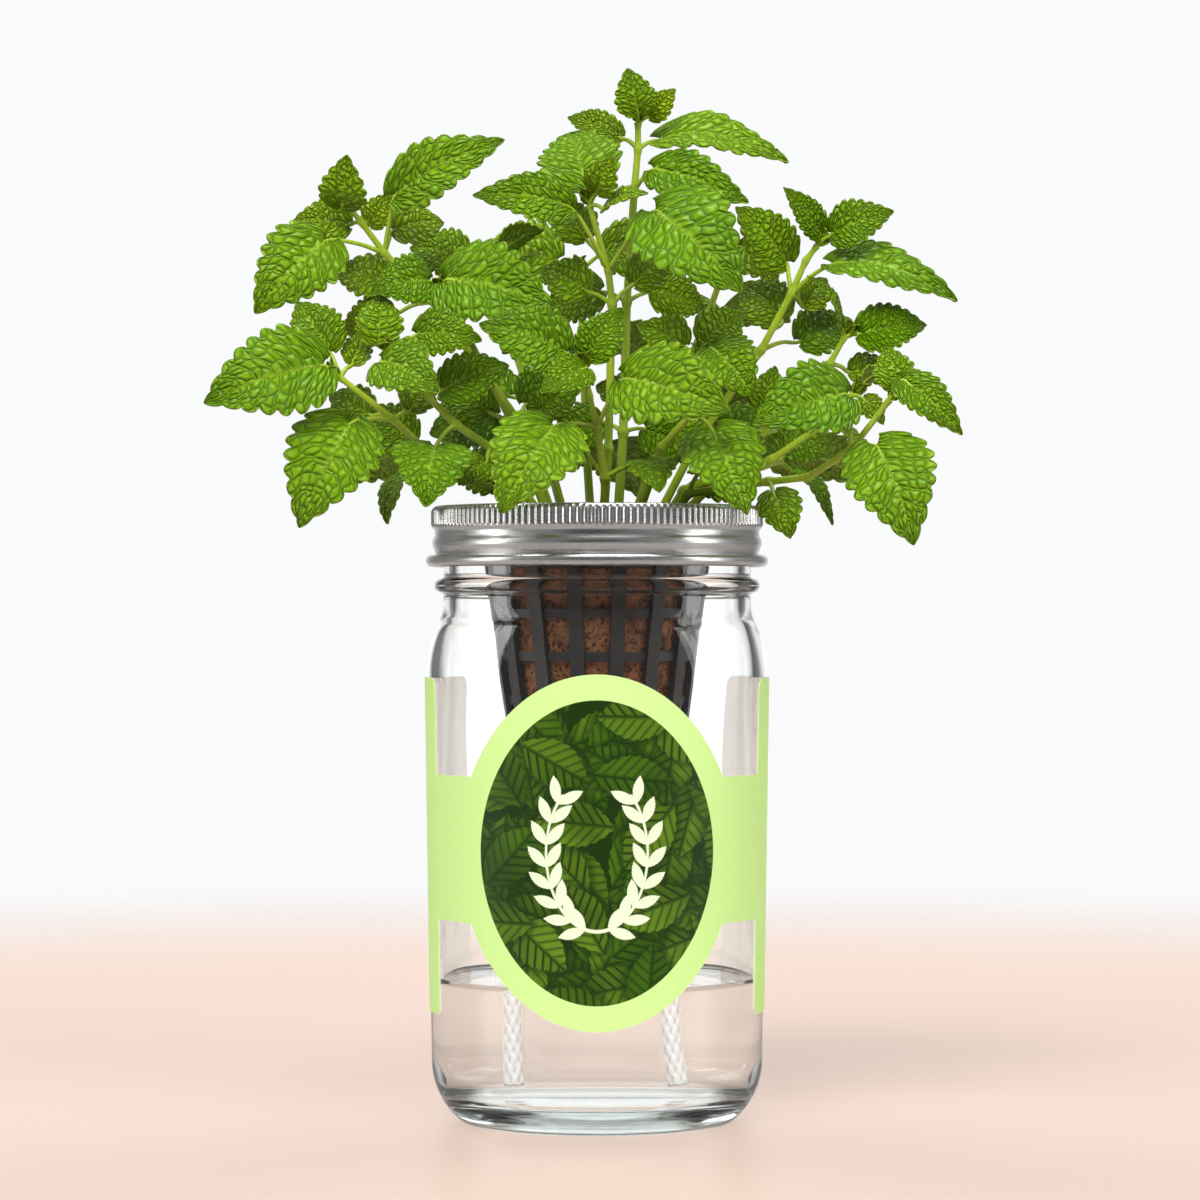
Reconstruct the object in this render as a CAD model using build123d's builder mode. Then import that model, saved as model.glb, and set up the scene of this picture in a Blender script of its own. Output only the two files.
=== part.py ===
from build123d import *
import os
from math import atan2, cos, degrees, pi, radians, sin, tan

# A hydroponic jar planter: a preserving jar of water, a net pot held under its screw band,
# a coir plug with two wicks, a wrap label and a lemon-balm plant in sprigs.
# Millimetres, Z up, origin on the table at the jar's axis, the label's front towards -Y.

# Glass jar, heights stacked from the table up
heel_height = 15.5
body_height = 101.0
shoulder_height = 21.1
finish_height = 23.4
foot_radius = 36.5
heel_radius = 44.0
shoulder_radius = 45.5
neck_radius = 41.0
shoulder_turn = 0.73
glass_wall = 3.2
floor_thickness = 7.5
floor_radius = 32.0
bearing_ring_width = 3.0
push_up = 2.0
bead_rise = 4.2
bead_round = 1.9
bead_proud = 2.4
rim_round = 0.9

# Water
water_depth = 30.0
water_clearance = 0.1

# Net pot, hung by its flange from the jar's rim
pot_depth = 72.6
pot_top_radius = 31.1
pot_low_radius = 20.8
pot_wall = 1.2
pot_floor = 1.6
flange_overhang = 1.0
flange_thickness = 1.2
collar_height = 15.0
rib_count = 16
rib_width = 3.7
rib_proud = 0.9
rib_root = 0.6
hoop_count = 4
hoop_height = 2.4
foot_hoop_height = 4.0
drain_count = 8
drain_length = 7.0
drain_width = 2.4
drain_circle_radius = 8.5

# Coir plug
coir_recess = 11.0
coir_clearance = 0.3

# Wicks, each a limp braided cord that hangs from its hole in the pot's floor
wick_diameter = 4.4
wick_clearance = 0.3
wick_hole_reach = 16.0
wick_bore_depth = 8.5
arc_share = 0.45
wick_routes = {
    "wick_left": [
        (-16.0, 0.0, 97.8),
        (-16.2, 0.2, 80.0),
        (-17.4, 0.4, 55.0),
        (-17.6, -0.6, 32.0),
        (-16.8, -1.0, 10.3),
    ],
    "wick_right": [
        (16.0, 0.0, 97.8),
        (15.8, 0.2, 80.0),
        (14.6, 0.4, 55.0),
        (14.2, -0.2, 32.0),
        (16.4, -1.0, 10.3),
    ],
}

# Screw band, roll-formed sheet
band_sheet = 0.55
band_seat_gap = 0.25
band_side_gap = 1.65
knurl_height = 5.2
knurl_bevel = 1.0
groove_depth = 1.0
groove_height = 2.6
groove_slope = 1.3
roll_depth = 0.3
roll_height = 1.4
band_neck_depth = 0.8
band_height = 14.6
curl_round = 1.6
curl_proud = 1.4

# Label, a thin wrap on the tapered body
label_thickness = 0.3
label_gap = 0.1
label_rise = 12.1
oval_width = 71.6
oval_height = 91.4
strap_height = 38.0
panel_height = 88.4
panel_front = 17.0
panel_back = 25.0
panel_corner = 3.0

# Plant: square stems, leaf blades folded along the midrib and arched along their length
stem_width = 2.6
stem_tip_width = 1.5
stem_knot = 2.6
petiole_width = 1.1
petiole_tip_width = 0.8
leaf_length = 30.0
slim_leaf_width = 18.0
oval_leaf_width = 26.0
broad_leaf_width = 30.0
leaf_thickness = 0.5
leaf_gap = 1.0
leaf_fold = 14.0
leaf_arch = 3.9
leaf_crest = 13.5
leaf_teeth = 5
tooth_depth = 0.16
tooth_lean = 0.75
leaf_base_width = 0.16
leaf_swell = 0.62
leaf_fullness = 0.8

# Heights that follow from the sizes above
shoulder_z = heel_height + body_height
neck_z = shoulder_z + shoulder_height
rim_z = neck_z + finish_height
mouth_radius = neck_radius - glass_wall
pot_low_z = rim_z - pot_depth
flange_radius = neck_radius + flange_overhang
coir_top_z = rim_z - coir_recess
band_top_z = rim_z + flange_thickness + band_seat_gap + band_sheet
knurl_radius = flange_radius + band_side_gap + band_sheet


def jar_form(inset, foot_r, foot_z):
    """Half outline of the jar up to its rim, moved in from the outside by inset."""
    heel = Vector(heel_radius - inset, heel_height)
    shoulder = Vector(shoulder_radius - inset, shoulder_z)
    neck = Vector(neck_radius - inset, neck_z)
    turn = shoulder + (neck - shoulder) * shoulder_turn
    with BuildSketch(Plane.XZ) as form:
        with BuildLine():
            bottom = Line((0, foot_z), (foot_r, foot_z))
            body = Line(heel, shoulder)
            TangentArc(heel, bottom @ 1, tangent=heel - shoulder)
            crown = TangentArc(shoulder, turn, tangent=body % 1)
            hollow = TangentArc(turn, neck, tangent=crown % 1)
            Polyline(hollow @ 1, (neck.X, rim_z), (0, rim_z), (0, foot_z))
        make_face()
    return form.sketch


# Jar: a revolved form with its cavity, transfer bead, pushed-up base and rounded rim
outside = jar_form(0, foot_radius, 0)
cavity = jar_form(glass_wall, floor_radius, floor_thickness)
with BuildPart() as jar:
    add(outside)
    revolve(axis=Axis.Z)
    with BuildSketch(Plane.XZ):
        with Locations((neck_radius + bead_proud - bead_round, neck_z + bead_rise)):
            Circle(bead_round)
    revolve(axis=Axis.Z)
    add(cavity)
    revolve(axis=Axis.Z, mode=Mode.SUBTRACT)
    ring_inside = foot_radius - bearing_ring_width
    with BuildSketch(Plane.XZ):
        with BuildLine():
            Polyline((ring_inside, 0), (0, 0), (0, push_up))
            TangentArc((0, push_up), (ring_inside, 0), tangent=(1, 0))
        make_face()
    revolve(axis=Axis.Z, mode=Mode.SUBTRACT)
    rim_edges = jar.edges().filter_by(GeomType.CIRCLE).group_by(Axis.Z)[-1]
    fillet(rim_edges, radius=rim_round)
jar.part.label = "glass_jar"


def pot_radius(z):
    """Outside radius of the pot's tapered wall at height z."""
    return pot_low_radius + (pot_top_radius - pot_low_radius) * (z - pot_low_z) / pot_depth


def wall_ring(low_z, high_z):
    """Section of the pot's wall between two heights."""
    Polygon(
        (pot_radius(low_z) - pot_wall, low_z),
        (pot_radius(low_z), low_z),
        (pot_radius(high_z), high_z),
        (pot_radius(high_z) - pot_wall, high_z),
        align=None,
    )


# Net pot: rings on a cone, joined by proud ribs, with a flange above and a slotted floor below
with BuildPart() as rib:
    with BuildSketch(Plane.XZ):
        Polygon(
            (pot_low_radius - rib_root, pot_low_z),
            (pot_low_radius + rib_proud, pot_low_z),
            (pot_top_radius + rib_proud, rim_z),
            (pot_top_radius - rib_root, rim_z),
            align=None,
        )
    extrude(amount=rib_width / 2, both=True)
hoop_step = (pot_depth - collar_height) / (hoop_count + 1)
with BuildPart() as net_pot:
    with BuildSketch(Plane.XZ):
        wall_ring(rim_z - collar_height, rim_z)
        wall_ring(pot_low_z, pot_low_z + foot_hoop_height)
        for hoop in range(hoop_count):
            hoop_z = pot_low_z + hoop_step * (hoop + 1)
            wall_ring(hoop_z - hoop_height / 2, hoop_z + hoop_height / 2)
    revolve(axis=Axis.Z)
    with PolarLocations(0, rib_count, start_angle=180 / rib_count):
        add(rib.part)
    with BuildSketch(Plane.XY.offset(rim_z)):
        Circle(flange_radius)
        Circle(pot_top_radius - pot_wall, mode=Mode.SUBTRACT)
    extrude(amount=flange_thickness)
    with BuildSketch(Plane.XY.offset(pot_low_z)):
        Circle(pot_low_radius - pot_wall / 2)
        with Locations((-wick_hole_reach, 0), (wick_hole_reach, 0)):
            Circle(wick_diameter / 2 + wick_clearance, mode=Mode.SUBTRACT)
        with PolarLocations(drain_circle_radius, drain_count, start_angle=180 / drain_count):
            SlotOverall(drain_length, drain_width, mode=Mode.SUBTRACT)
    extrude(amount=pot_floor)
net_pot.part.label = "net_pot"

# Coir plug: fills the pot up to the planting well, with a blind bore for the top of each wick
coir_low_z = pot_low_z + pot_floor
coir_inset = pot_wall + coir_clearance
with BuildPart() as coir_plug:
    with BuildSketch(Plane.XZ):
        Polygon(
            (0, coir_low_z),
            (pot_radius(coir_low_z) - coir_inset, coir_low_z),
            (pot_radius(coir_top_z) - coir_inset, coir_top_z),
            (0, coir_top_z),
            align=None,
        )
    revolve(axis=Axis.Z)
    with BuildSketch(Plane.XY.offset(coir_low_z)):
        with Locations((-wick_hole_reach, 0), (wick_hole_reach, 0)):
            Circle(wick_diameter / 2 + wick_clearance)
    extrude(amount=wick_bore_depth, mode=Mode.SUBTRACT)
coir_plug.part.label = "coir_plug"


def cord_path(name, route, diameter):
    """Straight runs joined by arcs as large as the runs allow, with the bend radii printed."""
    points = [Vector(*point) for point in route]
    runs = [end - start for start, end in zip(points, points[1:])]
    radii = []
    for before, after in zip(runs, runs[1:]):
        shorter = min(before.length, after.length)
        radii.append(arc_share * shorter / tan(radians(before.get_angle(after)) / 2))
    with BuildLine() as path:
        FilletPolyline(*points, radius=radii)
    rounded = [round(radius) for radius in radii]
    print(f"{name}: bend radii {rounded} mm, {min(radii) / diameter:.1f} diameters at least")
    return path.wire()


def cord(name, path, diameter):
    """Round cord along its path, compared with its section times its length."""
    with BuildPart() as tube:
        with BuildSketch(Plane(path @ 0, z_dir=path % 0)):
            Circle(diameter / 2)
        sweep(path=path)
    expected = pi * diameter**2 / 4 * path.length
    print(f"{name}: length {path.length:.1f} mm, volume {tube.part.volume:.0f} of {expected:.0f} mm3")
    tube.part.label = name
    return tube.part


wick_paths = {name: cord_path(name, route, wick_diameter) for name, route in wick_routes.items()}
wicks = [cord(name, path, wick_diameter) for name, path in wick_paths.items()]

# Water: fills the cavity to its level, with a channel round each wick
water_form = jar_form(glass_wall + water_clearance, floor_radius, floor_thickness + water_clearance)
with BuildPart() as water:
    add(water_form)
    revolve(axis=Axis.Z)
    split(bisect_by=Plane.XY.offset(floor_thickness + water_depth), keep=Keep.BOTTOM)
    for path in wick_paths.values():
        with BuildSketch(Plane(path @ 0, z_dir=path % 0)):
            Circle(wick_diameter / 2 + wick_clearance)
        sweep(path=path, mode=Mode.SUBTRACT)
        with Locations(path @ 1):
            Sphere(wick_diameter / 2 + wick_clearance, mode=Mode.SUBTRACT)
water.part.label = "water"

# Screw band: one sheet from the lip over the knurled rim, groove and thread roll to the curled edge
sheet_r = knurl_radius - band_sheet / 2
sheet_top_z = band_top_z - band_sheet / 2
groove_z = band_top_z - knurl_height - groove_slope
roll_z = groove_z - groove_height - groove_slope
curl_z = band_top_z - band_height
with BuildPart() as screw_band:
    with BuildSketch(Plane.XZ):
        with BuildLine():
            Polyline(
                (mouth_radius, sheet_top_z),
                (sheet_r - knurl_bevel, sheet_top_z),
                (sheet_r, sheet_top_z - knurl_bevel),
                (sheet_r, band_top_z - knurl_height),
                (sheet_r - groove_depth, groove_z),
                (sheet_r - groove_depth, groove_z - groove_height),
                (sheet_r - roll_depth, roll_z),
                (sheet_r - roll_depth, roll_z - roll_height),
                (sheet_r - band_neck_depth, roll_z - roll_height - groove_slope),
                (sheet_r - band_neck_depth, curl_z),
            )
        trace(line_width=band_sheet)
        with Locations((knurl_radius + curl_proud - curl_round, curl_z)):
            Circle(curl_round)
    revolve(axis=Axis.Z)
screw_band.part.label = "screw_band"


def body_radius(z):
    """Outside radius of the jar's tapered body at height z."""
    return heel_radius + (shoulder_radius - heel_radius) * (z - heel_height) / body_height


# Label: a thin cone on the body, cut to a front oval, two straps and two rounded side panels
label_low_z = heel_height + label_rise
label_high_z = label_low_z + oval_height
label_mid_z = label_low_z + oval_height / 2
label_reach = 2 * shoulder_radius
with BuildPart() as label_cut:
    with BuildSketch(Plane.XZ):
        with Locations((0, label_mid_z)):
            Ellipse(oval_width / 2, oval_height / 2)
            Rectangle(label_reach, strap_height)
    extrude(amount=label_reach)
    with BuildSketch(Plane.YZ):
        with Locations(((panel_back - panel_front) / 2, label_mid_z)):
            RectangleRounded(panel_front + panel_back, panel_height, panel_corner)
    extrude(amount=label_reach, both=True)
with BuildPart() as label:
    with BuildSketch(Plane.XZ):
        Polygon(
            (body_radius(label_low_z) + label_gap, label_low_z),
            (body_radius(label_low_z) + label_gap + label_thickness, label_low_z),
            (body_radius(label_high_z) + label_gap + label_thickness, label_high_z),
            (body_radius(label_high_z) + label_gap, label_high_z),
            align=None,
        )
    revolve(axis=Axis.Z)
    add(label_cut.part, mode=Mode.INTERSECT)
label.part.label = "label"


def rod(start, end, start_width, end_width):
    """Square tapered stalk between two points."""
    run = end - start
    with BuildPart() as stalk:
        with BuildSketch(Plane(start, z_dir=run)):
            Rectangle(start_width, start_width)
        extrude(amount=run.length, taper=degrees(atan2((start_width - end_width) / 2, run.length)))
    return stalk.part


def half_width(share):
    """Half the blade's width at a share of its length, as a part of its greatest half width."""
    rounded = sin(pi * share**leaf_swell) ** leaf_fullness
    return leaf_base_width * (1 - share) + (1 - leaf_base_width) * rounded


def leaf_outline(width):
    """Corner points of a toothed ovate blade along +X, base first and tip in the middle."""
    side = [(0, leaf_base_width * width / 2)]
    for tooth in range(leaf_teeth):
        crest = (tooth + tooth_lean) / leaf_teeth
        notch = (tooth + 1) / leaf_teeth
        side.append((crest * leaf_length, half_width(crest) * width / 2))
        if tooth < leaf_teeth - 1:
            side.append((notch * leaf_length, half_width(notch) * width / 2 * (1 - tooth_depth)))
    return side + [(leaf_length, 0)] + [(x, -y) for x, y in reversed(side)]


def leaf(width):
    """Leaf blade along +X: an arched sheet folded up from its midrib, cut to its outline."""
    with BuildPart() as blade:
        with BuildSketch(Plane.XZ):
            Polygon(
                (0, 0),
                (leaf_crest, leaf_arch),
                (leaf_length, 0),
                (leaf_length, -leaf_thickness),
                (leaf_crest, leaf_arch - leaf_thickness),
                (0, -leaf_thickness),
                align=None,
            )
        fold = (0, -cos(radians(leaf_fold)), sin(radians(leaf_fold)))
        extrude(amount=width, dir=fold)
        mirror(about=Plane.XZ)
        with BuildSketch(Plane.XY.offset(-leaf_length)):
            Polygon(*leaf_outline(width), align=None)
        extrude(amount=2 * leaf_length, mode=Mode.INTERSECT)
    return blade.part


# Three blade shapes, each used at many sizes
SLIM = leaf(slim_leaf_width)
OVAL = leaf(oval_leaf_width)
BROAD = leaf(broad_leaf_width)


# Ways that a leaf's upper face can look
UP = Vector(0, -0.35, 1)
RAISED = Vector(0, -0.6, 0.8)
FRONT = Vector(0, -1, 0.35)
LEFT = Vector(-0.7, -0.4, 0.7)
RIGHT = Vector(0.7, -0.4, 0.7)
BACK = Vector(0, 0.6, 0.8)

# Sprigs: the stem's joints, root first, then each leaf's joint, base, tip, width and facing.
# Places are (x, y, height above the coir).
sprigs = {
    "top": (
        [(5, 4, 0), (7, 5, 33), (8, 6, 68), (10, 6, 98), (11, 6, 109), (11, 6, 116)],
        [
            (5, (11, 3, 118), (8, 2, 130), BROAD, FRONT),
            (5, (14, 8, 118), (21, 6, 125), OVAL, RIGHT),
            (4, (17, 9, 112), (51, 6, 106), SLIM, RAISED),
            (3, (15, 1, 103), (39, -9, 92), SLIM, FRONT),
            (4, (6, 13, 113), (-8, 20, 119), SLIM, FRONT),
            (2, (1, 10, 71), (-14, 17, 66), BROAD, FRONT),
            (2, (15, 10, 71), (29, 16, 67), BROAD, FRONT),
            (1, (1, 10, 36), (-13, 13, 30), BROAD, FRONT),
            (1, (13, 10, 34), (27, 16, 26), BROAD, FRONT),
        ],
    ),
    "crown": (
        [(1, -6, 0), (3, -8, 28), (4, -10, 66), (3, -10, 75), (-2, -13, 92)],
        [
            (3, (15, -18, 90), (37, -34, 68), OVAL, FRONT),
            (3, (-7, -17, 91), (-32, -22, 94), SLIM, FRONT),
            (4, (-3, -12, 97), (-7, 6, 113), BROAD, FRONT),
            (4, (0, -17, 95), (4, -22, 104), BROAD, FRONT),
            (4, (2, -16, 91), (13, -22, 94), OVAL, RAISED),
            (3, (-3, -5, 84), (-11, 0, 94), BROAD, FRONT),
            (2, (-3, -8, 70), (-15, -4, 76), BROAD, FRONT),
            (2, (10, -6, 72), (20, -2, 80), BROAD, FRONT),
        ],
    ),
    "upper_left": (
        [(-8, 4, 0), (-21, 4, 36), (-44, 6, 68), (-57, 6, 81), (-63, 5, 89), (-67, 4, 94)],
        [
            (5, (-68, 2, 93), (-66, -4, 106), BROAD, FRONT),
            (4, (-67, 9, 89), (-82, 12, 90), BROAD, FRONT),
            (4, (-61, 9, 89), (-55, 9, 97), BROAD, FRONT),
            (3, (-54, 2, 96), (-25, -3, 110), SLIM, FRONT),
            (3, (-72, 1, 84), (-90, -8, 64), OVAL, FRONT),
            (3, (-55, 14, 88), (-42, 20, 91), BROAD, FRONT),
            (2, (-57, 14, 74), (-71, 18, 77), BROAD, FRONT),
            (2, (-55, 12, 65), (-69, 14, 60), BROAD, FRONT),
            (1, (-27, 9, 37), (-45, 13, 33), BROAD, FRONT),
            (1, (-19, 12, 41), (-6, 18, 52), OVAL, FRONT),
        ],
    ),
    "back_left": (
        [(-6, 12, 0), (-17, 19, 40), (-30, 26, 78)],
        [
            (2, (-36, 27, 81), (-51, 31, 85), BROAD, FRONT),
            (2, (-27, 29, 82), (-15, 36, 90), BROAD, BACK),
            (1, (-24, 24, 44), (-46, 36, 48), OVAL, UP),
        ],
    ),
    "left": (
        [(-9, -4, 0), (-22, -8, 34), (-40, -12, 69)],
        [
            (2, (-40, -15, 72), (-12, -27, 64), OVAL, FRONT),
            (2, (-44, -13, 72), (-59, -20, 69), BROAD, FRONT),
            (1, (-15, -10, 38), (-3, -13, 46), OVAL, FRONT),
            (1, (-29, -5, 38), (-43, 0, 47), BROAD, FRONT),
        ],
    ),
    "low_left": (
        [(-13, -9, 0), (-23, -14, 16), (-37, -20, 20), (-53, -22, 35), (-67, -24, 46)],
        [
            (4, (-71, -26, 49), (-101, -33, 39), OVAL, FRONT),
            (4, (-70, -20, 53), (-79, -15, 66), BROAD, FRONT),
            (3, (-64, -26, 34), (-76, -37, 7), OVAL, FRONT),
            (3, (-60, -12, 37), (-71, -7, 42), BROAD, FRONT),
            (4, (-64, -19, 50), (-61, -13, 58), OVAL, FRONT),
            (3, (-49, -16, 38), (-44, -10, 46), BROAD, FRONT),
            (2, (-51, -15, 21), (-55, -19, 8), OVAL, LEFT),
            (1, (-25, -8, 20), (-39, -3, 24), BROAD, FRONT),
        ],
    ),
    "mid_left": (
        [(-7, -8, 0), (-28, -15, 28), (-37, -19, 34), (-44, -21, 41), (-53, -25, 52)],
        [
            (4, (-57, -22, 55), (-56, -17, 68), BROAD, FRONT),
            (4, (-47, -26, 57), (-30, -30, 56), OVAL, FRONT),
            (4, (-56, -29, 50), (-40, -41, 42), OVAL, FRONT),
            (3, (-40, -22, 43), (-23, -19, 49), OVAL, FRONT),
            (2, (-42, -27, 28), (-44, -43, 12), BROAD, FRONT),
            (1, (-29, -20, 24), (-36, -27, 18), BROAD, FRONT),
        ],
    ),
    "front": (
        [(2, -13, 0), (2, -20, 20), (0, -24, 33), (-2, -26, 41), (-3, -28, 48)],
        [
            (4, (-8, -31, 52), (-30, -36, 59), OVAL, FRONT),
            (4, (-2, -28, 51), (6, -26, 64), OVAL, FRONT),
            (4, (-3, -32, 48), (-14, -40, 41), OVAL, FRONT),
            (2, (7, -33, 45), (33, -46, 35), OVAL, FRONT),
            (2, (-11, -33, 33), (-23, -50, 10), OVAL, FRONT),
            (1, (13, -24, 24), (16, -36, 16), BROAD, RAISED),
            (1, (-4, -20, 27), (-12, -21, 22), BROAD, FRONT),
        ],
    ),
    "front_right": (
        [(7, -7, 0), (17, -14, 28), (25, -18, 37), (27, -14, 51)],
        [
            (2, (30, -29, 32), (37, -45, 10), OVAL, FRONT),
            (3, (30, -18, 54), (41, -27, 41), BROAD, FRONT),
            (3, (28, -10, 56), (39, -5, 64), BROAD, FRONT),
            (1, (21, -9, 32), (31, -3, 26), BROAD, FRONT),
            (3, (23, -11, 55), (11, -8, 61), BROAD, FRONT),
        ],
    ),
    "upper_right": (
        [(11, 5, 0), (27, 4, 31), (44, 6, 55), (52, 6, 70), (56, 6, 79), (59, 6, 83)],
        [
            (5, (60, 5, 86), (50, 1, 98), SLIM, FRONT),
            (5, (63, 4, 86), (79, 0, 91), OVAL, FRONT),
            (3, (63, 4, 78), (95, -2, 67), SLIM, RAISED),
            (3, (51, 10, 79), (37, 8, 93), OVAL, FRONT),
            (2, (50, 15, 64), (39, 23, 74), BROAD, FRONT),
            (2, (55, 14, 58), (69, 20, 64), BROAD, FRONT),
            (3, (56, 10, 67), (62, 14, 75), BROAD, FRONT),
            (1, (32, 11, 34), (50, 17, 28), BROAD, FRONT),
            (1, (26, 13, 41), (17, 18, 55), OVAL, FRONT),
        ],
    ),
    "right": (
        [(12, 0, 0), (43, -3, 31), (62, 0, 51), (66, 0, 58)],
        [
            (3, (65, -1, 61), (56, -5, 74), SLIM, RIGHT),
            (3, (70, 0, 59), (88, 2, 61), OVAL, FRONT),
            (2, (68, 4, 49), (80, 8, 50), OVAL, FRONT),
            (1, (48, 2, 33), (63, 7, 28), BROAD, FRONT),
            (1, (44, -6, 38), (47, -4, 50), OVAL, FRONT),
        ],
    ),
    "low_right": (
        [(14, -10, 0), (24, -14, 16), (45, -20, 19), (55, -22, 20), (66, -27, 27), (76, -28, 40)],
        [
            (4, (65, -30, 41), (40, -40, 34), OVAL, FRONT),
            (5, (78, -27, 43), (76, -22, 54), BROAD, FRONT),
            (5, (79, -30, 45), (94, -37, 31), SLIM, FRONT),
            (4, (72, -32, 28), (82, -46, 3), OVAL, FRONT),
            (2, (46, -25, 16), (50, -29, 4), BROAD, FRONT),
            (1, (27, -18, 22), (31, -27, 19), BROAD, RAISED),
        ],
    ),
    "far_right": (
        [(12, -5, 0), (23, -8, 17), (46, -12, 25), (61, -13, 35), (67, -12, 42)],
        [
            (2, (51, -9, 23), (62, -14, 8), SLIM, RIGHT),
            (3, (65, -10, 33), (71, -6, 25), BROAD, RIGHT),
            (4, (69, -9, 44), (77, -4, 49), BROAD, BACK),
            (4, (70, -14, 41), (75, -17, 34), OVAL, FRONT),
            (1, (28, 2, 20), (41, 7, 18), BROAD, FRONT),
        ],
    ),
    "back": (
        [(-1, 16, 0), (-3, 26, 30), (-4, 34, 58), (-5, 37, 78)],
        [
            (2, (-9, 38, 60), (-26, 51, 57), BROAD, BACK),
            (2, (2, 39, 60), (17, 54, 55), BROAD, BACK),
            (1, (3, 33, 30), (12, 55, 16), OVAL, BACK),
            (1, (-9, 33, 30), (-26, 52, 18), OVAL, BACK),
            (3, (-11, 41, 82), (-33, 48, 84), BROAD, FRONT),
            (3, (2, 37, 84), (21, 38, 85), BROAD, FRONT),
        ],
    ),
    "back_right": (
        [(7, 12, 0), (19, 21, 38), (30, 30, 65), (36, 32, 82)],
        [
            (2, (35, 33, 67), (53, 44, 65), BROAD, BACK),
            (2, (27, 36, 68), (21, 52, 75), BROAD, BACK),
            (1, (26, 24, 39), (46, 33, 35), BROAD, BACK),
            (3, (39, 31, 85), (50, 30, 76), BROAD, FRONT),
            (3, (33, 33, 86), (22, 36, 93), OVAL, FRONT),
            (1, (13, 24, 42), (0, 29, 47), BROAD, FRONT),
        ],
    ),
    "low_back_left": (
        [(-13, 9, 0), (-23, 15, 16), (-48, 30, 26)],
        [
            (2, (-52, 32, 28), (-74, 42, 19), OVAL, BACK),
            (2, (-49, 36, 29), (-54, 58, 24), BROAD, BACK),
            (2, (-51, 29, 31), (-65, 29, 40), BROAD, FRONT),
        ],
    ),
    "low_back_right": (
        [(14, 9, 0), (24, 15, 16), (50, 28, 26)],
        [
            (2, (54, 30, 28), (76, 40, 19), OVAL, BACK),
            (2, (51, 34, 29), (55, 56, 22), BROAD, BACK),
        ],
    ),
}


def planted(place):
    """A place above the coir, as a point of the whole part."""
    x, y, height = place
    return Vector(x, y, coir_top_z + height)


def sprig_stem(joints, leaves):
    """One stem with a knot at each joint and a petiole to each leaf, cut level with the coir."""
    points = [planted(joint) for joint in joints]
    taper = (stem_width - stem_tip_width) / (len(points) - 1)
    stalks = []
    for index in range(len(points) - 1):
        start = points[index]
        if index == 0:
            start += (start - points[1]).normalized() * stem_width
        width = stem_width - taper * index
        stalks.append(rod(start, points[index + 1], width, width - taper))
    for joint, base, tip, shape, facing in leaves:
        start = points[joint]
        reach = planted(base) - start
        end = start + reach * (1 - leaf_gap / reach.length)
        stalks.append(rod(start, end, petiole_width, petiole_tip_width))
    with BuildPart() as stem:
        with Locations(*points[1:]):
            Box(stem_knot, stem_knot, stem_knot)
        add(stalks)
        split(bisect_by=Plane.XY.offset(coir_top_z), keep=Keep.TOP)
    return stem.part


def sprig_leaves(leaves):
    """The leaf blades of one sprig, each a solid of its own."""
    blades = []
    for joint, base, tip, shape, facing in leaves:
        reach = planted(tip) - planted(base)
        normal = facing - reach * (facing.dot(reach) / reach.dot(reach))
        place = Plane(planted(base), x_dir=reach, z_dir=normal)
        sized = scale(shape, by=reach.length / leaf_length, mode=Mode.PRIVATE)
        blades.append(place * sized)
    with BuildPart() as group:
        add(blades)
    return group.part


plant = []
for sprig, (joints, leaves) in sprigs.items():
    stem = sprig_stem(joints, leaves)
    stem.label = f"stem_{sprig}"
    blades = sprig_leaves(leaves)
    blades.label = f"leaves_{sprig}"
    plant += [stem, blades]

# One file for each piece
os.makedirs("parts", exist_ok=True)
solid_pieces = [jar, water, screw_band, net_pot, coir_plug, label]
for piece in [piece.part for piece in solid_pieces] + wicks + plant:
    export_step(piece, f"parts/{piece.label}.step")
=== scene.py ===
import random
from math import atan2, copysign, cos, pi, sin

import bmesh
import bpy
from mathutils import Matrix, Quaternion, Vector, noise


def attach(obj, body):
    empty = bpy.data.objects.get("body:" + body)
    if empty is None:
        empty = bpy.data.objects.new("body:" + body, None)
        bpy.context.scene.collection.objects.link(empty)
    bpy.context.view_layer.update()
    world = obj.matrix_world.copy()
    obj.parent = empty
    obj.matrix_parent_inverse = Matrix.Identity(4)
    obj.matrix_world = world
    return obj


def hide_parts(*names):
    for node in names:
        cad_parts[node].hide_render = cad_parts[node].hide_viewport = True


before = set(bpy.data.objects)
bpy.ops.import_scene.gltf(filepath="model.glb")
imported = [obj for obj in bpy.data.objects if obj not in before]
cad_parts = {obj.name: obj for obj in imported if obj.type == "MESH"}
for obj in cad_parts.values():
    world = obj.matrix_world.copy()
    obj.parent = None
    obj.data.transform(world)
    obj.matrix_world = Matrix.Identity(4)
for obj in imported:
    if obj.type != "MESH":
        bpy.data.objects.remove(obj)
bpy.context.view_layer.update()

# Glass jar: one piece of clear soda-lime glass, pressed and blown, with a heavy rounded heel,
# a transfer bead under the neck and a screw thread round its mouth. It stands on the ring
# round its pushed-up base, and its inside is slightly wavy where the blown wall set.
mm = 0.001
jar_heel = Vector((44.0, 15.5))
jar_shoulder = Vector((45.5, 116.5))
jar_neck = Vector((41.0, 137.6))
wall_slope = (jar_shoulder.x - jar_heel.x) / (jar_shoulder.y - jar_heel.y)
shoulder_turn = 0.73
glass_wall = 3.2
jar_foot_radius = 36.5
base_ring_radius = 33.5
base_push_up = 2.0
jar_floor_radius = 32.0
jar_floor_height = 7.5
bead_low = 139.0
bead_high = 144.6
bead_height = 141.8
bead_centre = 41.5
bead_round = 1.9
bead_fillet = 0.6
finish_low = 145.0
finish_row = 0.42
finish_top = 160.5
rim_height = 161.0
rim_round = 0.9
thread_low = 151.2
thread_pitch = 4.6
thread_turns = 1.35
thread_proud = 1.1
thread_half_width = 1.7
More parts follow.
